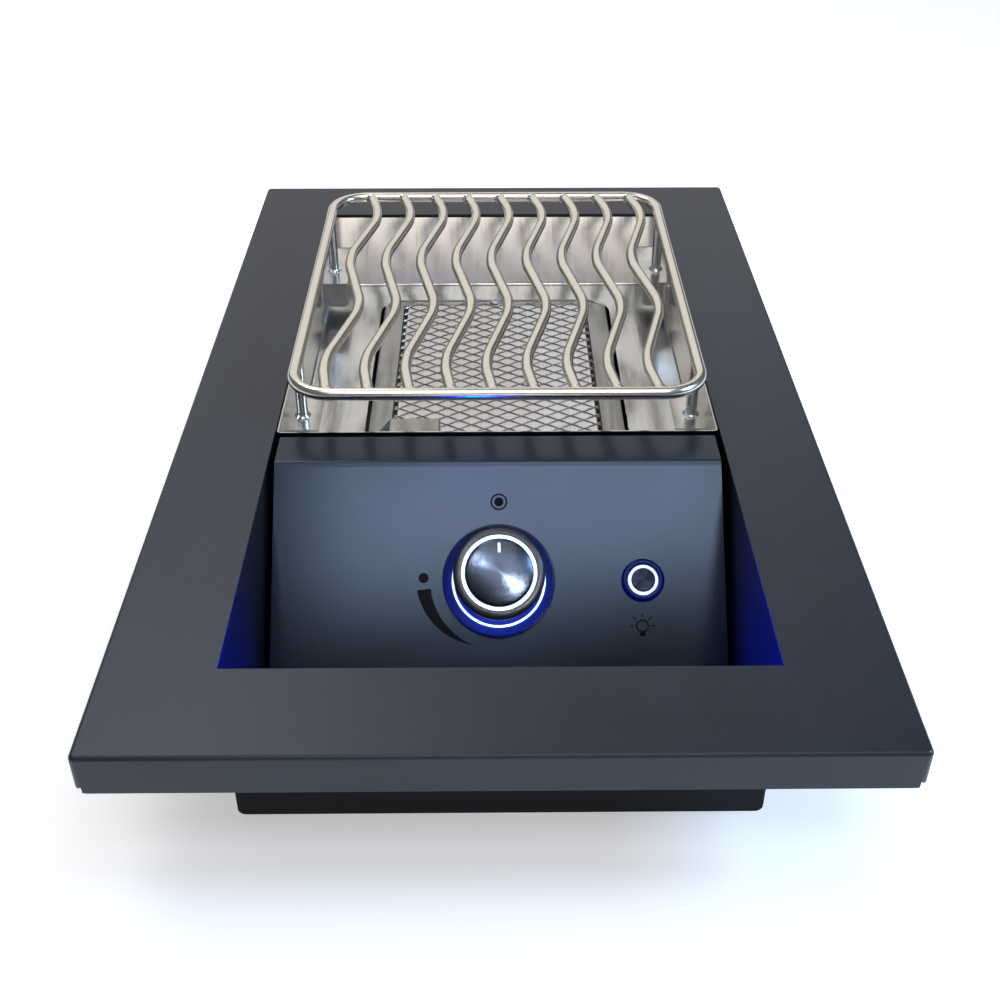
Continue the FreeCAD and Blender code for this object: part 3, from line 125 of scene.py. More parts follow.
class Finish:
    """A material on the Principled shader, with one method for every other node."""

    def __init__(self, name, colour, roughness, metallic=0.0, **plain):
        self.material = bpy.data.materials.new(name)
        self.material.use_nodes = True
        self.tree = self.material.node_tree
        self.shader = self.tree.nodes["Principled BSDF"]
        self.wire(self.shader, {"Base Color": (*colour, 1), "Roughness": roughness,
                                "Metallic": metallic, **plain})
        self.place = self.add("ShaderNodeTexCoord", out="Object")

    def add(self, kind, settings=None, sockets=None, out=0):
        made = self.tree.nodes.new(kind)
        for name, value in (settings or {}).items():
            setattr(made, name, value)
        self.wire(made, sockets or {})
        return Flow(self, made.outputs[out])

    def wire(self, made, sockets):
        for key, value in sockets.items():
            if isinstance(value, Flow):
                self.tree.links.new(value.socket, made.inputs[key])
            else:
                made.inputs[key].default_value = value

    def noise(self, scale, detail=2.0, stretch=(1, 1, 1)):
        place = self.add("ShaderNodeMapping", {}, {"Vector": self.place, "Scale": stretch})
        return self.add("ShaderNodeTexNoise", {},
                        {"Vector": place, "Scale": scale, "Detail": detail})

    def between(self, share, low, high):
        """A colour on the way from low to high, by a share that is held between 0 and 1."""
        low, high = (tone if isinstance(tone, Flow) else (*tone, 1) for tone in (low, high))
        return self.add("ShaderNodeMix", {"data_type": "RGBA", "clamp_factor": True},
                        {0: share, 6: low, 7: high}, out=2)

    def colour(self, flow):
        self.wire(self.shader, {"Base Color": flow})

    def mottle(self, scale, detail, dark, light):
        """The plain case: a colour that wanders between two tones."""
        self.colour(self.between(self.noise(scale, detail), dark, light))

    def rough(self, flow):
        self.wire(self.shader, {"Roughness": flow})

    def shine(self, flow):
        self.wire(self.shader, {"Emission Color": flow, "Emission Strength": 1.0})

    def bump(self, height, depth, strength=1.0):
        self.wire(self.shader, {"Normal": self.add("ShaderNodeBump", {}, {
            "Height": height, "Distance": depth, "Strength": strength})})


def coat(name, dark, light, roughness, depth=0.00009, dull_above=None, **sockets):
    """Powder coat: fine pimples, a slow change of tone and a sprinkle of lighter grains. Above a
    height that may be given, it is duller."""
    made = Finish(name, light, roughness, **sockets)
    cloudy, grainy, duller, sparkle_from = 0.08, 0.1, 0.1, 0.71
    grain = made.noise(1700, 2)
    patch = made.noise(24, 2)
    sparkle = (made.noise(2600, 0) > sparkle_from) * 0.5
    made.colour(made.between(grain * 0.6 + patch * 0.4 + sparkle, dark, light))
    uneven = patch * cloudy + grain * grainy + (roughness - (cloudy + grainy) / 2)
    if dull_above:
        height = made.add("ShaderNodeSeparateXYZ", {}, {"Vector": made.place}, out=2)
        uneven = uneven + (height > dull_above) * duller
    made.rough(uneven)
    made.bump(grain + made.noise(420, 1) * 0.08, depth, 0.8)
    return made.material


def dress(material, *names):
    """Gives a CAD node that keeps its form its real finish."""
    for name in names:
        for held in node[name].material_slots:
            held.material = material


frame_coat = coat("frame_coat", (0.006, 0.007, 0.010), (0.031, 0.035, 0.047), 0.36,
                  **{"Specular IOR Level": 0.4, "Specular Tint": (0.82, 0.9, 1.0, 1)})
dress(frame_coat, "trim_frame")

# The casing: a folded steel box with a sheet welded into each end. It is coated as the frame is,
# but less glossy and painted darker for shade: only its front shows, in the shade of the lip.
casing_coat = coat("casing_coat", (0.001, 0.0015, 0.003), (0.003, 0.0045, 0.009), 0.42,
                   **{"Specular IOR Level": 0.15})
dress(casing_coat, "casing", "casing_front", "casing_back")

# The control panel: folded sheet, coated in the same black with a blue cast. Its sloping face is
# glossier than the trim frame, and its level shelf is a little duller.
shelf_level = 0.0845
panel_coat = coat("panel_coat", (0.002, 0.003, 0.005), (0.007, 0.0105, 0.019), 0.14,
                  depth=0.00004, dull_above=shelf_level,
                  **{"Specular Tint": (0.58, 0.75, 1.0, 1), "Specular IOR Level": 0.56})
dress(panel_coat, "control_panel")

# The printed marks on the panel: screen-printed matt black, as plain as on any burner. A ring
# with a dot stands for off, a spot for high, a tapering arc for the knob's turn, and a lamp for
# the button.
knob_foot = Vector((0, -0.121194, 0.042306))
slope = math.radians(45)
on_panel = Matrix.Translation(knob_foot) @ Matrix.Rotation(slope, 4, "X")


def begin(name):
    """The primitive just added becomes a piece of this name."""
    piece = bpy.context.object
    piece.name = piece.data.name = name
    return piece


def alone(piece=None):
    """Leaves edit mode and selects nothing but the piece that may be given."""
    if bpy.context.object and bpy.context.object.mode != "OBJECT":
        bpy.ops.object.mode_set(mode="OBJECT")
    bpy.ops.object.select_all(action="DESELECT")
    if piece:
        bpy.context.view_layer.objects.active = piece
        piece.select_set(True)


def disc(name, radius, thick, x=0.0, y=0.0, z=0.0, sides=64):
    """A flat round that stands on the height z."""
    alone()
    bpy.ops.mesh.primitive_cylinder_add(vertices=sides, radius=radius, depth=thick,
                                        location=(x, y, z + thick / 2))
    return begin(name)


def carve(piece, tool):
    """Cuts a tool's form out of a piece, and throws the tool away."""
    alone(piece)
    step = piece.modifiers.new("carve", "BOOLEAN")
    step.operation, step.object, step.solver = "DIFFERENCE", tool, "EXACT"
    bpy.ops.object.modifier_apply(modifier=step.name)
    bpy.data.objects.remove(tool)
    return piece


def join(name, first, *others):
    """Makes one piece of several."""
    alone(first)
    for item in others:
        item.select_set(True)
    bpy.ops.object.join()
    return begin(name)


def settle(piece, where=Matrix(), angle=35):
    """Moves the piece to its place in the frame, in its mesh, and shades it."""
    alone(piece)
    piece.matrix_world = where @ piece.matrix_world
    bpy.ops.object.transform_apply(location=True, rotation=True, scale=True)
    bpy.ops.object.shade_smooth_by_angle(angle=math.radians(angle))
    return piece


def fit(piece, material, slot, body, *replaced):
    """The piece takes its finish, rides on its body and stands for its CAD nodes."""
    piece.data.materials.clear()
    piece.data.materials.append(material)
    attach(piece, body)
    if replaced:
        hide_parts(*replaced)


def bore(radius, sides=64):
    """A tool that cuts a round hole through the print."""
    return disc("bore", radius, 0.001, z=-0.0005, sides=sides)


print_height, print_gap = 0.00006, 0.00002
ring_outside, ring_inside, dot = 0.00435, 0.0035, 0.0024
ring = carve(disc("off_ring", ring_outside, print_height), bore(ring_inside))
off_mark = join("off_mark", ring, disc("off_dot", dot, print_height))
off_mark.location = (0.0003, 0.041, print_height / 2)

high_mark = disc("high_mark", 0.0026, print_height, x=-0.0383, y=0.0018)

# Two circles of almost one size with their middles apart leave a crescent, cut near its widest.
arc_outside, arc_inside, arc_end = 0.03473, 0.0348, math.radians(186)
arc = disc("turn_arc", arc_outside, print_height, x=-0.0075, y=0.00187, sides=128)
arc = carve(arc, bore(arc_inside, 128))
alone(arc)
bpy.ops.object.transform_apply(location=True)
bpy.ops.object.mode_set(mode="EDIT")
bpy.ops.mesh.select_all(action="SELECT")
bpy.ops.mesh.bisect(plane_co=(0, 0, 0), plane_no=(-math.sin(arc_end), math.cos(arc_end), 0),
                    use_fill=True, clear_inner=True)
bpy.ops.object.mode_set(mode="OBJECT")

bulb_outside, bulb_inside, ray_middle, lamp_scale = 0.0026, 0.0021, 0.0043, 1.25
lamp = [carve(disc("lamp_bulb", bulb_outside, print_height), bore(bulb_inside))]
for turn in (-90, -45, 0, 45, 90):
    alone()
    bpy.ops.mesh.primitive_cube_add(size=1, scale=(0.0004, 0.0016, print_height))
    ray = begin("lamp_ray")
    ray.matrix_world = (Matrix.Rotation(math.radians(turn), 4, "Z")
                        @ Matrix.Translation((0, ray_middle, print_height / 2))
                        @ ray.matrix_world)
    lamp.append(ray)
alone()
bpy.ops.mesh.primitive_cube_add(size=1, scale=(0.0022, 0.0014, print_height),
                                location=(0, -0.0034, print_height / 2))
lamp.append(begin("lamp_base"))
lamp_mark = join("lamp_mark", *lamp)
lamp_mark.location, lamp_mark.scale = (0.0728, -0.0232, 0), (lamp_scale, lamp_scale, 1)

marks = join("panel_marks", off_mark, high_mark, arc, lamp_mark)
settle(marks, on_panel @ Matrix.Translation((0, 0, print_gap)))
ink = Finish("ink", (0.004, 0.004, 0.005), 0.8, **{"Specular IOR Level": 0.12})
ink.mottle(900, 1, (0.002, 0.002, 0.003), (0.006, 0.007, 0.009))
fit(marks, ink.material, "panel_coat", "side_burner")


# The bowl: stainless sheet with a mirror polish, folded up on four sides, its back wall leaned
# out, and a slot cut in its floor for the burner. The folds are bent round and catch the light.
def pick(piece, kind, test):
    """Selects a piece's corners, edges or faces in edit mode by a test on each."""
    bpy.ops.mesh.select_mode(type=kind)
    bpy.ops.mesh.select_all(action="DESELECT")
    form = bmesh.from_edit_mesh(piece.data)
    for item in {"VERT": form.verts, "EDGE": form.edges, "FACE": form.faces}[kind]:
        item.select_set(test(item))
    bmesh.update_edit_mesh(piece.data)


def middle(item):
    """The middle of an edge's or a face's corners."""
    return sum((corner.co for corner in item.verts), Vector()) / len(item.verts)


def steel(name, dark, light, roughness, streak, depth=0.00001, **plain):
    """Bright metal. The polishing belt's streaks lie closest along streak's largest number."""
    made = Finish(name, light, roughness, 1.0, **plain)
    streaks = made.noise(1.0, 4, streak)
    cloud = made.noise(22, 2)
    made.colour(made.between(streaks * 0.7 + cloud * 0.3, dark, light))
    made.rough(streaks * 0.12 + (roughness - 0.05))
    made.bump(streaks, depth, 0.6)
    return made.material


def thicken(piece, thickness, side):
    """Gives a drawn surface its sheet: side 1 lays it above, -1 below and 0 on both sides."""
    wall = piece.modifiers.new("wall", "SOLIDIFY")
    wall.thickness, wall.offset = thickness, side
    bpy.ops.object.modifier_apply(modifier="wall")


low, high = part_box("burner_bowl")
sheet, fold, floor_level, back_foot, hair = 0.0008, 0.0016, 0.042, 0.2182, 1e-5
side, front, back = high.x - sheet, low.y + sheet, high.y - sheet
alone()
bpy.ops.mesh.primitive_plane_add(size=1, location=(0, (front + back_foot) / 2, floor_level))
bowl = begin("bowl_polished")
bowl.scale = (side * 2, back_foot - front, 1)
bpy.ops.object.transform_apply(location=True, rotation=True, scale=True)
bpy.ops.object.mode_set(mode="EDIT")
pick(bowl, "EDGE", lambda edge: edge.is_boundary)
bpy.ops.mesh.extrude_region_move(TRANSFORM_OT_translate={"value": (0, 0, high.z - floor_level)})
pick(bowl, "VERT", lambda corner: corner.co.z > high.z - hair and corner.co.y > back_foot - hair)
bpy.ops.transform.translate(value=(0, back - back_foot, 0))
pick(bowl, "EDGE", lambda edge: len(edge.link_faces) == 2)
bpy.ops.mesh.bevel(offset=fold, segments=5)
bpy.ops.mesh.select_all(action="SELECT")
bpy.ops.mesh.normals_make_consistent(inside=False)
bpy.ops.object.mode_set(mode="OBJECT")
thicken(bowl, sheet, 1)
slot_wide, slot_long, slot_middle, slot_corner = 0.1588, 0.2092, 0.09, 0.0176
alone()
bpy.ops.mesh.primitive_cube_add(size=1, location=(0, slot_middle, floor_level),
                                scale=(slot_wide, slot_long, 0.01))
slot = begin("slot")
bpy.ops.object.transform_apply(location=True, scale=True)
bpy.ops.object.mode_set(mode="EDIT")
pick(slot, "EDGE", lambda edge: abs(edge.verts[0].co.z - edge.verts[1].co.z) > 0.005)
bpy.ops.mesh.bevel(offset=slot_corner, segments=10)
bpy.ops.object.mode_set(mode="OBJECT")
settle(carve(bowl, slot), angle=50)
bowl_steel = steel("bowl_steel", (0.45, 0.45, 0.45), (0.82, 0.81, 0.78), 0.15, (260, 40, 5),
                   depth=0.00008)
fit(bowl, bowl_steel, "polished_steel", "side_burner", "burner_bowl")
bracket_steel = steel("bracket_steel", (0.55, 0.54, 0.52), (0.8, 0.79, 0.77), 0.2, (120, 120, 120))
dress(bracket_steel, "bracket_front_left", "bracket_front_right",
      "bracket_back_left", "bracket_back_right")


# The posts: turned stainless studs, welded upright on the brackets. A small fillet of weld spreads
# round each foot, and the top edge is broken with a chamfer.
def turned(name, profile, sides=64):
    """A turned piece: a ring of edges drawn through (radius, height) pairs. A profile that comes
    back to its start makes a hollow ring, and any other has its two ends closed."""
    alone()
    (radius, height), *rest = profile
    bpy.ops.mesh.primitive_circle_add(vertices=sides, radius=radius, location=(0, 0, height))
    piece = begin(name)
    bpy.ops.object.transform_apply(location=True)
    bpy.ops.object.mode_set(mode="EDIT")
    bpy.ops.mesh.select_all(action="SELECT")
    for next_radius, next_height in rest:
        bpy.ops.mesh.extrude_edges_move(
            TRANSFORM_OT_translate={"value": (0, 0, next_height - height)})
        factor = next_radius / radius
        bpy.ops.transform.resize(value=(factor, factor, 1), center_override=(0, 0, next_height))
        radius, height = next_radius, next_height
    if profile[0] == profile[-1]:
        bpy.ops.mesh.select_all(action="SELECT")
        bpy.ops.mesh.remove_doubles(threshold=0.000002)
    else:
        bpy.ops.mesh.edge_face_add()
        pick(piece, "EDGE", lambda edge: edge.is_boundary)
        if any(edge.select for edge in bmesh.from_edit_mesh(piece.data).edges):
            bpy.ops.mesh.edge_face_add()
    bpy.ops.mesh.select_all(action="SELECT")
    bpy.ops.mesh.normals_make_consistent(inside=False)
    bpy.ops.object.mode_set(mode="OBJECT")
    return piece


def soften(piece, width, segments=3, angle=30):
    """Breaks a piece's sharp edges with a small round."""
    alone(piece)
    step = piece.modifiers.new("round", "BEVEL")
    step.width, step.segments, step.angle_limit = width, segments, math.radians(angle)
    step.limit_method, step.use_clamp_overlap = "ANGLE", True
    bpy.ops.object.modifier_apply(modifier=step.name)
    return piece


post_foot, post_top = (corner.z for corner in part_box("grate_posts"))
post_aside, post_front, post_back = 0.111, -0.0025, 0.187
post_round, chamfer = 0.0032, 0.0006
posts = []
for x in (-post_aside, post_aside):
    for y in (post_front, post_back):
        post = turned("post", [(post_round, post_foot), (post_round, post_foot + 0.0002),
                               (post_round, post_top - chamfer),
                               (post_round - chamfer, post_top)], 32)
        weld = turned("weld", [(0.0048, post_foot), (0.0045, post_foot + 0.0005),
                               (0.0037, post_foot + 0.0011), (0.0033, post_foot + 0.0022)], 32)
        both = join("post", post, weld)
        both.location = (x, y, 0)
        posts.append(both)
posts = settle(join("grate_posts_welded", *posts))
fit(posts, bracket_steel, "polished_steel", "side_burner", "grate_posts")

# The burner's housing: a drawn stainless pan. Its flange has round corners and a rolled edge
# that catches the light. The pan drops to a ledge for the tiles, and inside that to its floor.
low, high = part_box("burner_housing")
seat_left, seat_right, seat_front, seat_back = -0.0635, 0.0635, 0.010, 0.185
ledge_depth, ledge_width, plenum_depth = 0.013, 0.007, 0.020
flange_x, flange_corner, roll, pan_sheet = 0.0763, 0.015, 0.0005, 0.001
alone()
bpy.ops.mesh.primitive_plane_add(size=1, location=(0, (low.y + high.y) / 2, high.z))
housing = begin("housing_pan")
housing.scale = (high.x - low.x, high.y - low.y, 1)
bpy.ops.object.transform_apply(location=True, rotation=True, scale=True)
bpy.ops.object.mode_set(mode="EDIT")
for edge_x in (seat_left, seat_right):
    bpy.ops.mesh.select_all(action="SELECT")
    bpy.ops.mesh.bisect(plane_co=(edge_x, 0, high.z), plane_no=(1, 0, 0))
for edge_y in (seat_front, seat_back):
    bpy.ops.mesh.select_all(action="SELECT")
    bpy.ops.mesh.bisect(plane_co=(0, edge_y, high.z), plane_no=(0, 1, 0))
pick(housing, "FACE", lambda face: seat_left < middle(face).x < seat_right
     and seat_front < middle(face).y < seat_back)
bpy.ops.mesh.extrude_region_move(TRANSFORM_OT_translate={"value": (0, 0, -ledge_depth)})
bpy.ops.mesh.inset(thickness=ledge_width)
bpy.ops.mesh.extrude_region_move(TRANSFORM_OT_translate={"value": (0, 0, -plenum_depth)})
pick(housing, "VERT", lambda corner: abs(corner.co.x) > high.x - hair
     and (corner.co.y < low.y + hair or corner.co.y > high.y - hair))
bpy.ops.mesh.bevel(offset=flange_corner, affect="VERTICES", segments=10)
bpy.ops.object.mode_set(mode="OBJECT")
thicken(housing, pan_sheet, -1)
soften(housing, 0.0006, 2, 50)
lead_x, lead_y, lead_hole = -0.050, -0.001, 0.0036
carve(housing, disc("lead_hole", lead_hole, 0.01, lead_x, lead_y, high.z - 0.005))


def bar(name, points, bend, radius, closed=False, round_steps=5, bend_steps=12):
    """A round bar along straight runs, with its corners bent to one radius."""
    alone()
    bpy.ops.mesh.primitive_plane_add(size=0.001, location=points[0])
    piece = begin(name)
    bpy.ops.object.transform_apply(location=True)
    bpy.ops.object.mode_set(mode="EDIT")
    bpy.ops.mesh.select_all(action="SELECT")
    bpy.ops.mesh.merge(type="CENTER")
    for before, after in zip(points, points[1:]):
        bpy.ops.mesh.extrude_vertices_move(TRANSFORM_OT_translate={"value": after - before})
    if closed:
        bpy.ops.mesh.select_all(action="SELECT")
        bpy.ops.mesh.remove_doubles(threshold=0.00001)
        ring = points[:-1]
        corners = [(ring[i - 1], ring[i], ring[(i + 1) % len(ring)]) for i in range(len(ring))]
    else:
        corners = list(zip(points, points[1:], points[2:]))
    for before, corner, after in corners:
        turn = (corner - before).angle(after - corner)
        pick(piece, "VERT", lambda spot: (spot.co - corner).length < hair)
        bpy.ops.mesh.bevel(offset=bend * math.tan(turn / 2), affect="VERTICES",
                           segments=bend_steps)
    bpy.ops.object.mode_set(mode="OBJECT")
    bpy.ops.object.convert(target="CURVE")
    piece.data.bevel_depth, piece.data.bevel_resolution = radius, round_steps
    piece.data.use_fill_caps = True
    bpy.ops.object.convert(target="MESH")
    return begin(name)


flange = [Vector((x, y, high.z + 0.0001)) for x, y in (
    (-flange_x, low.y + roll), (flange_x, low.y + roll),
    (flange_x, high.y - roll), (-flange_x, high.y - roll))]
rolled_edge = bar("rolled_edge", flange + flange[:1], flange_corner - roll, roll,
                  closed=True, round_steps=2)
housing = settle(join("housing_pan", housing, rolled_edge))
pan_steel = steel("pan_steel", (0.3, 0.3, 0.3), (0.46, 0.45, 0.44), 0.2, (60, 60, 60))
fit(housing, pan_steel, "polished_steel", "side_burner", "burner_housing")

# The ceramic tiles: two slabs of cordierite, pierced with rows of fine gas ports. They keep the
# CAD form. The ports are drawn as dots of painted shade in the unglazed cream body, which is
# pinker where it has been hot.
tile = Finish("tile_ceramic", (0.86, 0.8, 0.74), 0.85)
ports = tile.add("ShaderNodeTexVoronoi", {"feature": "F1"}, {"Vector": tile.place, "Scale": 430,
                                                            "Randomness": 0.0})
warmth = tile.noise(14, 2)
body_colour = tile.between(warmth, (0.93, 0.86, 0.77), (0.93, 0.77, 0.66))
port_radius, port_edge, painted_port_shade = 0.22, 9, 0.45
painted_port_share = (port_radius - ports) * port_edge
tile.colour(tile.between(painted_port_share * painted_port_shade, body_colour, (0.35, 0.26, 0.2)))
tile.bump(ports, 0.0002, 0.3)
dress(tile.material, "ceramic_tile_front", "ceramic_tile_back")

# The burner screen: expanded metal, slit and stretched from one stainless sheet, so its strands
# stand on a slant and meet in flat knuckles. It is cut to size, which leaves open ends.
wide, long, strand, thick = 0.015, 0.0096, 0.001, 0.0007
rise, dip, margin, from_top, weld_gap = 0.0005, 0.0004, 0.0004, 0.0012, 0.00002
low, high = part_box("burner_screen")
alone()
bpy.ops.mesh.primitive_circle_add(vertices=4, radius=0.5, fill_type="NGON")
screen = begin("screen_mesh")
screen.scale = (wide, long, 1)
bpy.ops.object.transform_apply(scale=True)
bpy.ops.object.mode_set(mode="EDIT")
bpy.ops.mesh.select_all(action="SELECT")
bpy.ops.mesh.inset(thickness=strand / 2)
bpy.ops.mesh.delete(type="FACE")
inner_y = long / 2 - strand * 0.4
pick(screen, "VERT", lambda corner: abs(corner.co.x) < hair and abs(corner.co.y) < inner_y)
form = bmesh.from_edit_mesh(screen.data)
for corner in form.verts:
    if corner.select:
        corner.co.z += rise if corner.co.y > 0 else -dip
bmesh.update_edit_mesh(screen.data)
bpy.ops.object.mode_set(mode="OBJECT")
across = int((high.x - low.x) / wide) + 3
along = int((high.y - low.y) / long) + 3
for count, step_by in ((across, (wide, 0, 0)), (along, (0, long, 0))):
    row = screen.modifiers.new("row", "ARRAY")
    row.count, row.use_relative_offset, row.use_constant_offset = count, False, True
    row.constant_offset_displace = step_by
    row.use_merge_vertices, row.merge_threshold = True, weld_gap
    bpy.ops.object.modifier_apply(modifier="row")
screen.location = (-(across - 1) / 2 * wide, (low.y + high.y) / 2 - (along - 1) / 2 * long,
                   (low.z + high.z) / 2)
bpy.ops.object.duplicate()
bpy.context.object.location += Vector((wide / 2, long / 2, 0))
screen = join("screen_mesh", screen, bpy.context.object)
bpy.ops.object.transform_apply(location=True)
bpy.ops.object.mode_set(mode="EDIT")
bpy.ops.mesh.select_all(action="SELECT")
bpy.ops.mesh.remove_doubles(threshold=weld_gap)
for spot, way in (((low.x + margin, 0, 0), (1, 0, 0)), ((high.x - margin, 0, 0), (-1, 0, 0)),
                  ((0, low.y + margin, 0), (0, 1, 0)), ((0, high.y - margin, 0), (0, -1, 0))):
    bpy.ops.mesh.select_all(action="SELECT")
    bpy.ops.mesh.bisect(plane_co=spot, plane_no=way, clear_inner=True)
bpy.ops.object.mode_set(mode="OBJECT")
thicken(screen, thick, 0)
screen.location.z = high.z - from_top - (low.z + high.z) / 2
settle(screen)
screen_steel = steel("screen_steel", (0.26, 0.23, 0.2), (0.62, 0.58, 0.53), 0.3, (300, 300, 300))
fit(screen, screen_steel, "screen_steel", "side_burner", "burner_screen")

# The screw that holds the screen and the pan together: a zinc-plated pan head with a cross slot.
# Only this one shows on the burner's flange.
low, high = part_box("burner_screw")
shank, head, seat = 0.002, 0.0038, 0.0430
cross_long, cross_wide, cross_deep = 0.0046, 0.0007, 0.0012
screw = turned("pan_screw", [(shank, low.z + 0.0002), (shank, seat), (head, seat),
                             (head, seat + 0.0010), (0.0030, seat + 0.0017),
                             (0.0012, seat + 0.0019)], 32)
for turn in (0, 90):
    alone()
    bpy.ops.mesh.primitive_cube_add(size=1, location=(0, 0, seat + 0.0018),
                                    scale=(cross_long, cross_wide, cross_deep),
                                    rotation=(0, 0, math.radians(turn)))
    carve(screw, begin("slot"))
screw.location = ((low.x + high.x) / 2, (low.y + high.y) / 2, 0)
settle(soften(screw, 0.0002, 2))
zinc = steel("zinc_plate", (0.45, 0.45, 0.46), (0.7, 0.7, 0.72), 0.32, (200, 200, 200))
fit(screw, zinc, "zinc_steel", "side_burner", "burner_screw")

# The hood over the spark electrode: one bent piece of stainless sheet, spot-welded to the flange,
# shut on three sides and open towards the tiles.
low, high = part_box("electrode_hood")
hood_lean, hood_bend = 0.013, 0.0012
alone()
bpy.ops.mesh.primitive_cube_add(size=1, location=(low + high) / 2, scale=high - low)
hood = begin("spark_hood")
bpy.ops.object.transform_apply(location=True, scale=True)
bpy.ops.object.mode_set(mode="EDIT")
pick(hood, "FACE", lambda face: face.normal.z < -0.9 or face.normal.y > 0.9)
bpy.ops.mesh.delete(type="FACE")
pick(hood, "VERT", lambda corner: corner.co.x < low.x + hair and corner.co.z > high.z - hair)
bpy.ops.transform.translate(value=(hood_lean, 0, 0))
bpy.ops.object.mode_set(mode="OBJECT")
soften(hood, hood_bend, 4)
thicken(hood, sheet, -1)
settle(hood)
hood_steel = steel("hood_steel", (0.34, 0.33, 0.31), (0.5, 0.48, 0.45), 0.26, (90, 300, 90))
fit(hood, hood_steel, "polished_steel", "side_burner", "electrode_hood")

# The grate: round stainless bar, brushed to a warm satin. The frame is bar bent round and welded
# in the middle of its front. Nine waved rods stand between its front and back runs.
low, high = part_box("grate_frame")
rod = (high.z - low.z) / 2
level = (low.z + high.z) / 2
corners = [Vector((x, y, level)) for x, y in (
    (low.x + rod, low.y + rod), (high.x - rod, low.y + rod),
    (high.x - rod, high.y - rod), (low.x + rod, high.y - rod))]
rod_steel = steel("rod_steel", (0.66, 0.63, 0.55), (0.88, 0.85, 0.77), 0.2, (900, 900, 900),
                  depth=0.000002)
rim_bend, seam_round = 0.022, 0.0006
seam = []
for x in (-0.0006, 0.0009):
    alone()
    bpy.ops.mesh.primitive_torus_add(
        major_radius=rod - seam_round, minor_radius=seam_round, major_segments=32,
        minor_segments=8, location=(x, low.y + rod, level), rotation=(0, math.pi / 2, 0))
    seam.append(begin("seam"))
rim = bar("grate_rim", corners + corners[:1], rim_bend, rod, closed=True,
          round_steps=7, bend_steps=16)
rim = settle(join("grate_rim", rim, *seam))
fit(rim, rod_steel, "rod_steel", "grate", "grate_frame")

# A rod swings twice about a line of its own, which leans to the right towards the back. Its
# crests are arcs of one radius, joined by straight flanks.
swing, bend, lean, pitch, offset, start = 0.0116, 0.065, 0.0052, 0.0221, 0.0022, 0.0015
wave_rod, bead, rod_count = 0.003175, 0.0008, 9
run = high.y - low.y - 2 * rod
half_wave = run / 4
flank = (math.atan2(half_wave, 2 * bend - swing)
         - math.acos(2 * bend / math.hypot(half_wave, 2 * bend - swing)))
reach = swing / 2 + bend * (1 / math.cos(flank) - 1)
wave_y = (low.y + high.y) / 2


def on_wave(across, along, aside=-start):
    """A point beside the line of the rod that stands across."""
    return Vector((across + lean * along / run + aside, wave_y + along, level))


waves = []
for number in range(rod_count):
    across = (number - (rod_count - 1) / 2) * pitch + offset
    crests = [on_wave(across, -run / 2 + (crest + 0.5) * half_wave, reach if crest % 2 else -reach)
              for crest in range(4)]
    waves.append(bar("wave", [on_wave(across, -run / 2), *crests, on_wave(across, run / 2)],
                     bend, wave_rod, round_steps=6))
    for end in (-1, 1):
        alone()
        bpy.ops.mesh.primitive_torus_add(
            major_radius=0.00262, minor_radius=bead, major_segments=24, minor_segments=8,
            location=on_wave(across, end * (run / 2 - rod)), rotation=(math.pi / 2, 0, 0))
        waves.append(begin("bead"))
waves = settle(join("grate_waves", *waves))
fit(waves, rod_steel, "rod_steel", "grate", "grate_rods")


# The knob: a turned black body on the stem, a clear light guide let into its face, and a domed,
# polished cap with a white pointer in it. The guide is lit from behind, so bright that its middle
# reads white. A painted blue glow stands for the dish ring's light on the body's foot, and on
# its side less and less upwards.
def seen_from_panel(finish):
    """The place with z square to the panel, from the foot of the knob's axis."""
    return finish.add("ShaderNodeMapping", {"vector_type": "TEXTURE"},
                      {"Vector": finish.place, "Location": knob_foot, "Rotation": (slope, 0, 0)})


knob_black = Finish("knob_black", (0.012, 0.013, 0.016), 0.36)
knob_black.mottle(120, 2, (0.007, 0.008, 0.011), (0.016, 0.018, 0.024))
knob_black.bump(knob_black.noise(1500, 1), 0.00003, 0.3)
# The blue below is a painted glow: emission that stands for the dish ring's light on the body.
painted_glow_foot, painted_glow_top, fade = 0.0125, 0.0375, 60
height = knob_black.add("ShaderNodeSeparateXYZ", {}, {0: seen_from_panel(knob_black)}, out=2)
blue = knob_black.between(height > painted_glow_foot, (0.18, 0.22, 0.8), (0.001, 0.004, 0.15))
knob_black.shine(knob_black.between((painted_glow_top - height) * fade, (0, 0, 0), blue))
round_sides = 96
knob = turned("knob_body", [(0.0048, 0.0085), (0.0200, 0.0085), (0.0208, 0.0093),
                            (0.0211, 0.0120), (0.0222, 0.0330), (0.0223, 0.0372),
                            (0.0213, 0.0394), (0.0200, 0.0400), (0.01865, 0.0400),
                            (0.01865, 0.0379), (0.0048, 0.0379)], round_sides)
soften(knob, 0.0004, 3)
settle(knob, on_panel)
fit(knob, knob_black.material, "knob_black", "knob", "knob")

lit = Finish("lit_white", (0.75, 0.85, 1.0), 0.3,
             **{"Emission Color": (0.6, 0.78, 1.0, 1), "Emission Strength": 1.3})
lit.mottle(300, 1, (0.7, 0.8, 1.0), (0.85, 0.92, 1.0))
guide = turned("knob_light", [(0.0167, 0.0384), (0.0183, 0.0384), (0.0183, 0.0398),
                              (0.0180, 0.0402), (0.0171, 0.0402), (0.0167, 0.0398),
                              (0.0167, 0.0384)], round_sides)
settle(guide, on_panel)
fit(guide, lit.material, "lit_ring", "knob", "knob_light_guide")

cap = turned("knob_cap", [(0.0166, 0.0385), (0.0166, 0.0401), (0.0162, 0.0405), (0.0150, 0.0410),
                          (0.0130, 0.0417), (0.0105, 0.0423), (0.0075, 0.0428), (0.0040, 0.04315),
                          (0.0004, 0.0432)], round_sides)
settle(cap, on_panel, 60)
cap_polish = Finish("cap_polish", (0.14, 0.15, 0.17), 0.26, 1.0)
cap_polish.mottle(60, 1, (0.055, 0.067, 0.092), (0.078, 0.095, 0.127))


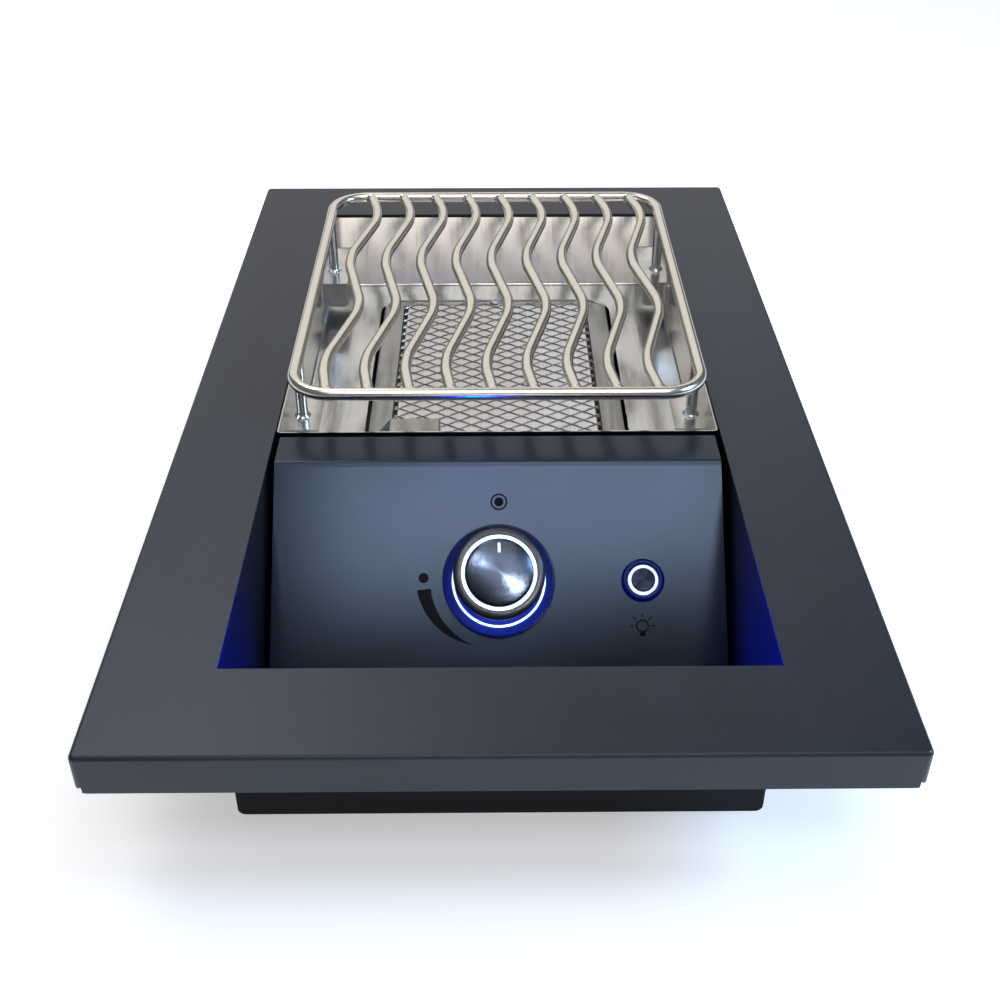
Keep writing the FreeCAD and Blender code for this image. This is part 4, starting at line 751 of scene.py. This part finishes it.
def spin_lines(finish, foot, steepness, pitch=0.00031):
    """The fine rings that a lathe leaves: the surface tips out and in along its own radius."""
    def vector_math(operation, first, second=(0, 0, 0), out=0):
        return finish.add("ShaderNodeVectorMath", {"operation": operation},
                          {0: first, 1: second}, out)

    axis = on_panel.to_3x3() @ Vector((0, 0, 1))
    spoke = vector_math("SUBTRACT", finish.place, foot)
    spoke = vector_math("SUBTRACT", spoke, vector_math("PROJECT", spoke, axis))
    turns = vector_math("LENGTH", spoke, out=1) * (2 * math.pi / pitch)
    tip = finish.add("ShaderNodeMath", {"operation": "SINE"}, {0: turns}) * steepness
    spoke = finish.add("ShaderNodeVectorTransform", {
        "vector_type": "VECTOR", "convert_from": "OBJECT", "convert_to": "WORLD"},
        {0: vector_math("NORMALIZE", spoke)})
    tipped = finish.add("ShaderNodeVectorMath", {"operation": "SCALE"}, {0: spoke, "Scale": tip})
    tipped = vector_math("ADD", finish.add("ShaderNodeNewGeometry", out="Normal"), tipped)
    finish.wire(finish.shader, {"Normal": vector_math("NORMALIZE", tipped)})


spin_lines(cap_polish, knob_foot, 0.12)
fit(cap, cap_polish.material, "knob_cap", "knob", "knob_face")

alone()
bpy.ops.mesh.primitive_cube_add(size=1, location=(0, 0.0118, 0.04215),
                                rotation=(math.radians(-8), 0, 0), scale=(0.0011, 0.0046, 0.0009))
pointer = soften(begin("knob_pointer"), 0.00012, 2)
settle(pointer, on_panel)
fit(pointer, lit.material, "lit_ring", "knob")

# The bezel: a black dish screwed under the knob, with a clear ring round its floor that is lit
# from behind. A painted blue glow stands for its light on the sloping rim, strongest where the
# dish hangs lowest.
bezel = turned("bezel_dish", [(0.0058, 0.0), (0.0286, 0.0), (0.0286, 0.0059), (0.0280, 0.0065),
                              (0.0274, 0.0065), (0.0239, 0.0034), (0.0239, 0.0021),
                              (0.0058, 0.0021), (0.0058, 0.0)], round_sides)
soften(bezel, 0.0003, 3)
settle(bezel, on_panel)
dish_black = Finish("dish_black", (0.01, 0.012, 0.02), 0.3, **{"Specular IOR Level": 0.2})
dish_black.mottle(90, 2, (0.006, 0.008, 0.014), (0.012, 0.016, 0.028))
# The blue below is a painted glow: emission by distance from the axis and by height, for the
# ring's light.
rim_mm, foot_mm, rim_share, fade_out, fade_up = 28.6, 26, 0.25, 0.16, 0.018
in_mm = dish_black.add("ShaderNodeVectorMath", {"operation": "MULTIPLY"},
                       {0: seen_from_panel(dish_black), 1: (1000, 1000, 0)})
from_axis = dish_black.add("ShaderNodeVectorMath", {"operation": "LENGTH"}, {0: in_mm}, out=1)
upward = dish_black.add("ShaderNodeSeparateXYZ", {}, {0: in_mm}, out=1)
glow = (rim_mm - from_axis) * fade_out + rim_share
glow = glow * (1 - (upward + foot_mm) * fade_up)
dish_black.shine(dish_black.between(glow, (0, 0.0005, 0.004), (0.0, 0.014, 0.33)))
fit(bezel, dish_black.material, "knob_black", "side_burner", "knob_bezel")

ring = turned("bezel_light", [(0.0227, 0.0022), (0.0238, 0.0022), (0.0238, 0.0034),
                              (0.0227, 0.0034), (0.0227, 0.0022)], round_sides)
settle(ring, on_panel)
fit(ring, lit.material, "lit_ring", "side_burner", "bezel_light_ring")

# The push button: a black-plated steel body with a round head, a lit ring in it, and a cap whose
# face is spun, so its glint turns with the light.
button_aside = 0.0735
at_button = on_panel @ Matrix.Translation((button_aside, 0, 0))
button = turned("button_head", [(0.0094, -0.024), (0.0094, 0.0), (0.011, 0.0), (0.011, 0.0014),
                                (0.0101, 0.0026), (0.0078, 0.0026), (0.0078, -0.0045),
                                (0.0064, -0.0045), (0.0064, -0.006)], round_sides)
soften(button, 0.0003, 3)
settle(button, at_button)
# The plated finish carries a faint painted blue glow, emission that stands for the ring's light on
# the head.
plated = steel("plated_black", (0.004, 0.005, 0.01), (0.012, 0.014, 0.025), 0.18, (400, 400, 400),
               **{"Emission Color": (0.0, 0.003, 0.07, 1), "Emission Strength": 1.0})
fit(button, plated, "button_steel", "side_burner", "button_housing")
ring = turned("button_light", [(0.0062, -0.004), (0.0075, -0.004), (0.0075, 0.0026),
                               (0.0062, 0.0026), (0.0062, -0.004)], round_sides)
settle(soften(ring, 0.0002, 2), at_button)
fit(ring, lit.material, "lit_ring", "side_burner", "button_light_ring")
press = turned("button_press", [(0.0061, -0.0038), (0.0061, 0.0029), (0.0057, 0.0032),
                                (0.0052, 0.0031), (0.0004, 0.0030)], round_sides)
settle(press, at_button, 50)
spun = Finish("spun_steel", (0.5, 0.5, 0.52), 0.2, 1.0)
spun.mottle(500, 2, (0.02, 0.025, 0.045), (0.05, 0.06, 0.095))
spin_lines(spun, at_button.to_translation(), 0.3)
fit(press, spun.material, "button_steel", "button_cap", "button_cap")

# What is behind the panel and under the bowl: brass gas parts, plated steel, moulded boxes and a
# silicone lead. They keep the CAD forms and get the finish of the real parts.
brass = steel("brass_turned", (0.5, 0.36, 0.16), (0.78, 0.6, 0.32), 0.3, (300, 300, 300))
dress(brass, "gas_orifice", "valve_body", "valve_cap", "valve_plug", "inlet_fitting", "inlet_nut")
dress(zinc, "burner_support_front", "burner_support_back", "electrode_rod", "mixing_tube",
      "heat_shield", "valve_stem", "gas_pipe", "button_nut", "panel_screws")
moulded = Finish("moulded_black", (0.02, 0.02, 0.021), 0.5)
moulded.mottle(800, 2, (0.012, 0.012, 0.013), (0.03, 0.03, 0.032))
moulded.bump(moulded.noise(1500, 1), 0.00005, 0.4)
dress(moulded.material, "spark_module", "light_driver", "power_socket")
glaze = Finish("glazed_white", (0.9, 0.89, 0.85), 0.15)
glaze.mottle(150, 2, (0.82, 0.8, 0.75), (0.92, 0.91, 0.88))
dress(glaze.material, "electrode_insulator")
silicone = Finish("silicone_red", (0.3, 0.04, 0.03), 0.55)
silicone.mottle(250, 2, (0.22, 0.03, 0.02), (0.4, 0.07, 0.05))
dress(silicone.material, "ignition_lead")


# The light that the rings throw: deep blue, over the well's walls and the grate's front bar. Two
# small lamps close to the knob's cap give it the two glints of a spun face.
def spot_lamp(name, place, aim, power, cone=75, colour=(0.0, 0.03, 1.0), soft=0.01):
    """A spot lamp that faces the point it aims at and isn't seen itself."""
    bpy.ops.object.light_add(type="SPOT", location=place)
    lamp = bpy.context.object
    lamp.name = name
    lamp.visible_camera = False
    lamp.data.energy, lamp.data.color, lamp.data.shadow_soft_size = power, colour, soft
    lamp.data.spot_size, lamp.data.spot_blend = math.radians(cone), 1.0
    lamp.rotation_euler = (Vector(aim) - Vector(place)).to_track_quat("-Z", "Y").to_euler()


spot_lamp("blue_right", (0.0, -0.215, 0.03), (0.118, -0.205, 0.07), 7)
spot_lamp("blue_left", (0.0, -0.215, 0.03), (-0.118, -0.225, 0.06), 5)
cap_middle = knob_foot + Vector((0, -0.0293, 0.0293))  # 41.4 mm out along the knob's axis
spot_lamp("glint_left", cap_middle + Vector((-0.118, -0.106, 0.254)), cap_middle, 3.2,
          cone=11, colour=(0.87, 0.93, 1.0), soft=0.025)
spot_lamp("glint_right", cap_middle + Vector((0.092, -0.228, 0.172)), cap_middle, 9,
          cone=11, colour=(0.91, 0.96, 1.0), soft=0.03)
spot_lamp("blue_bar", (-0.01, -0.13, 0.08), (-0.02, 0.0, 0.106), 0.45)
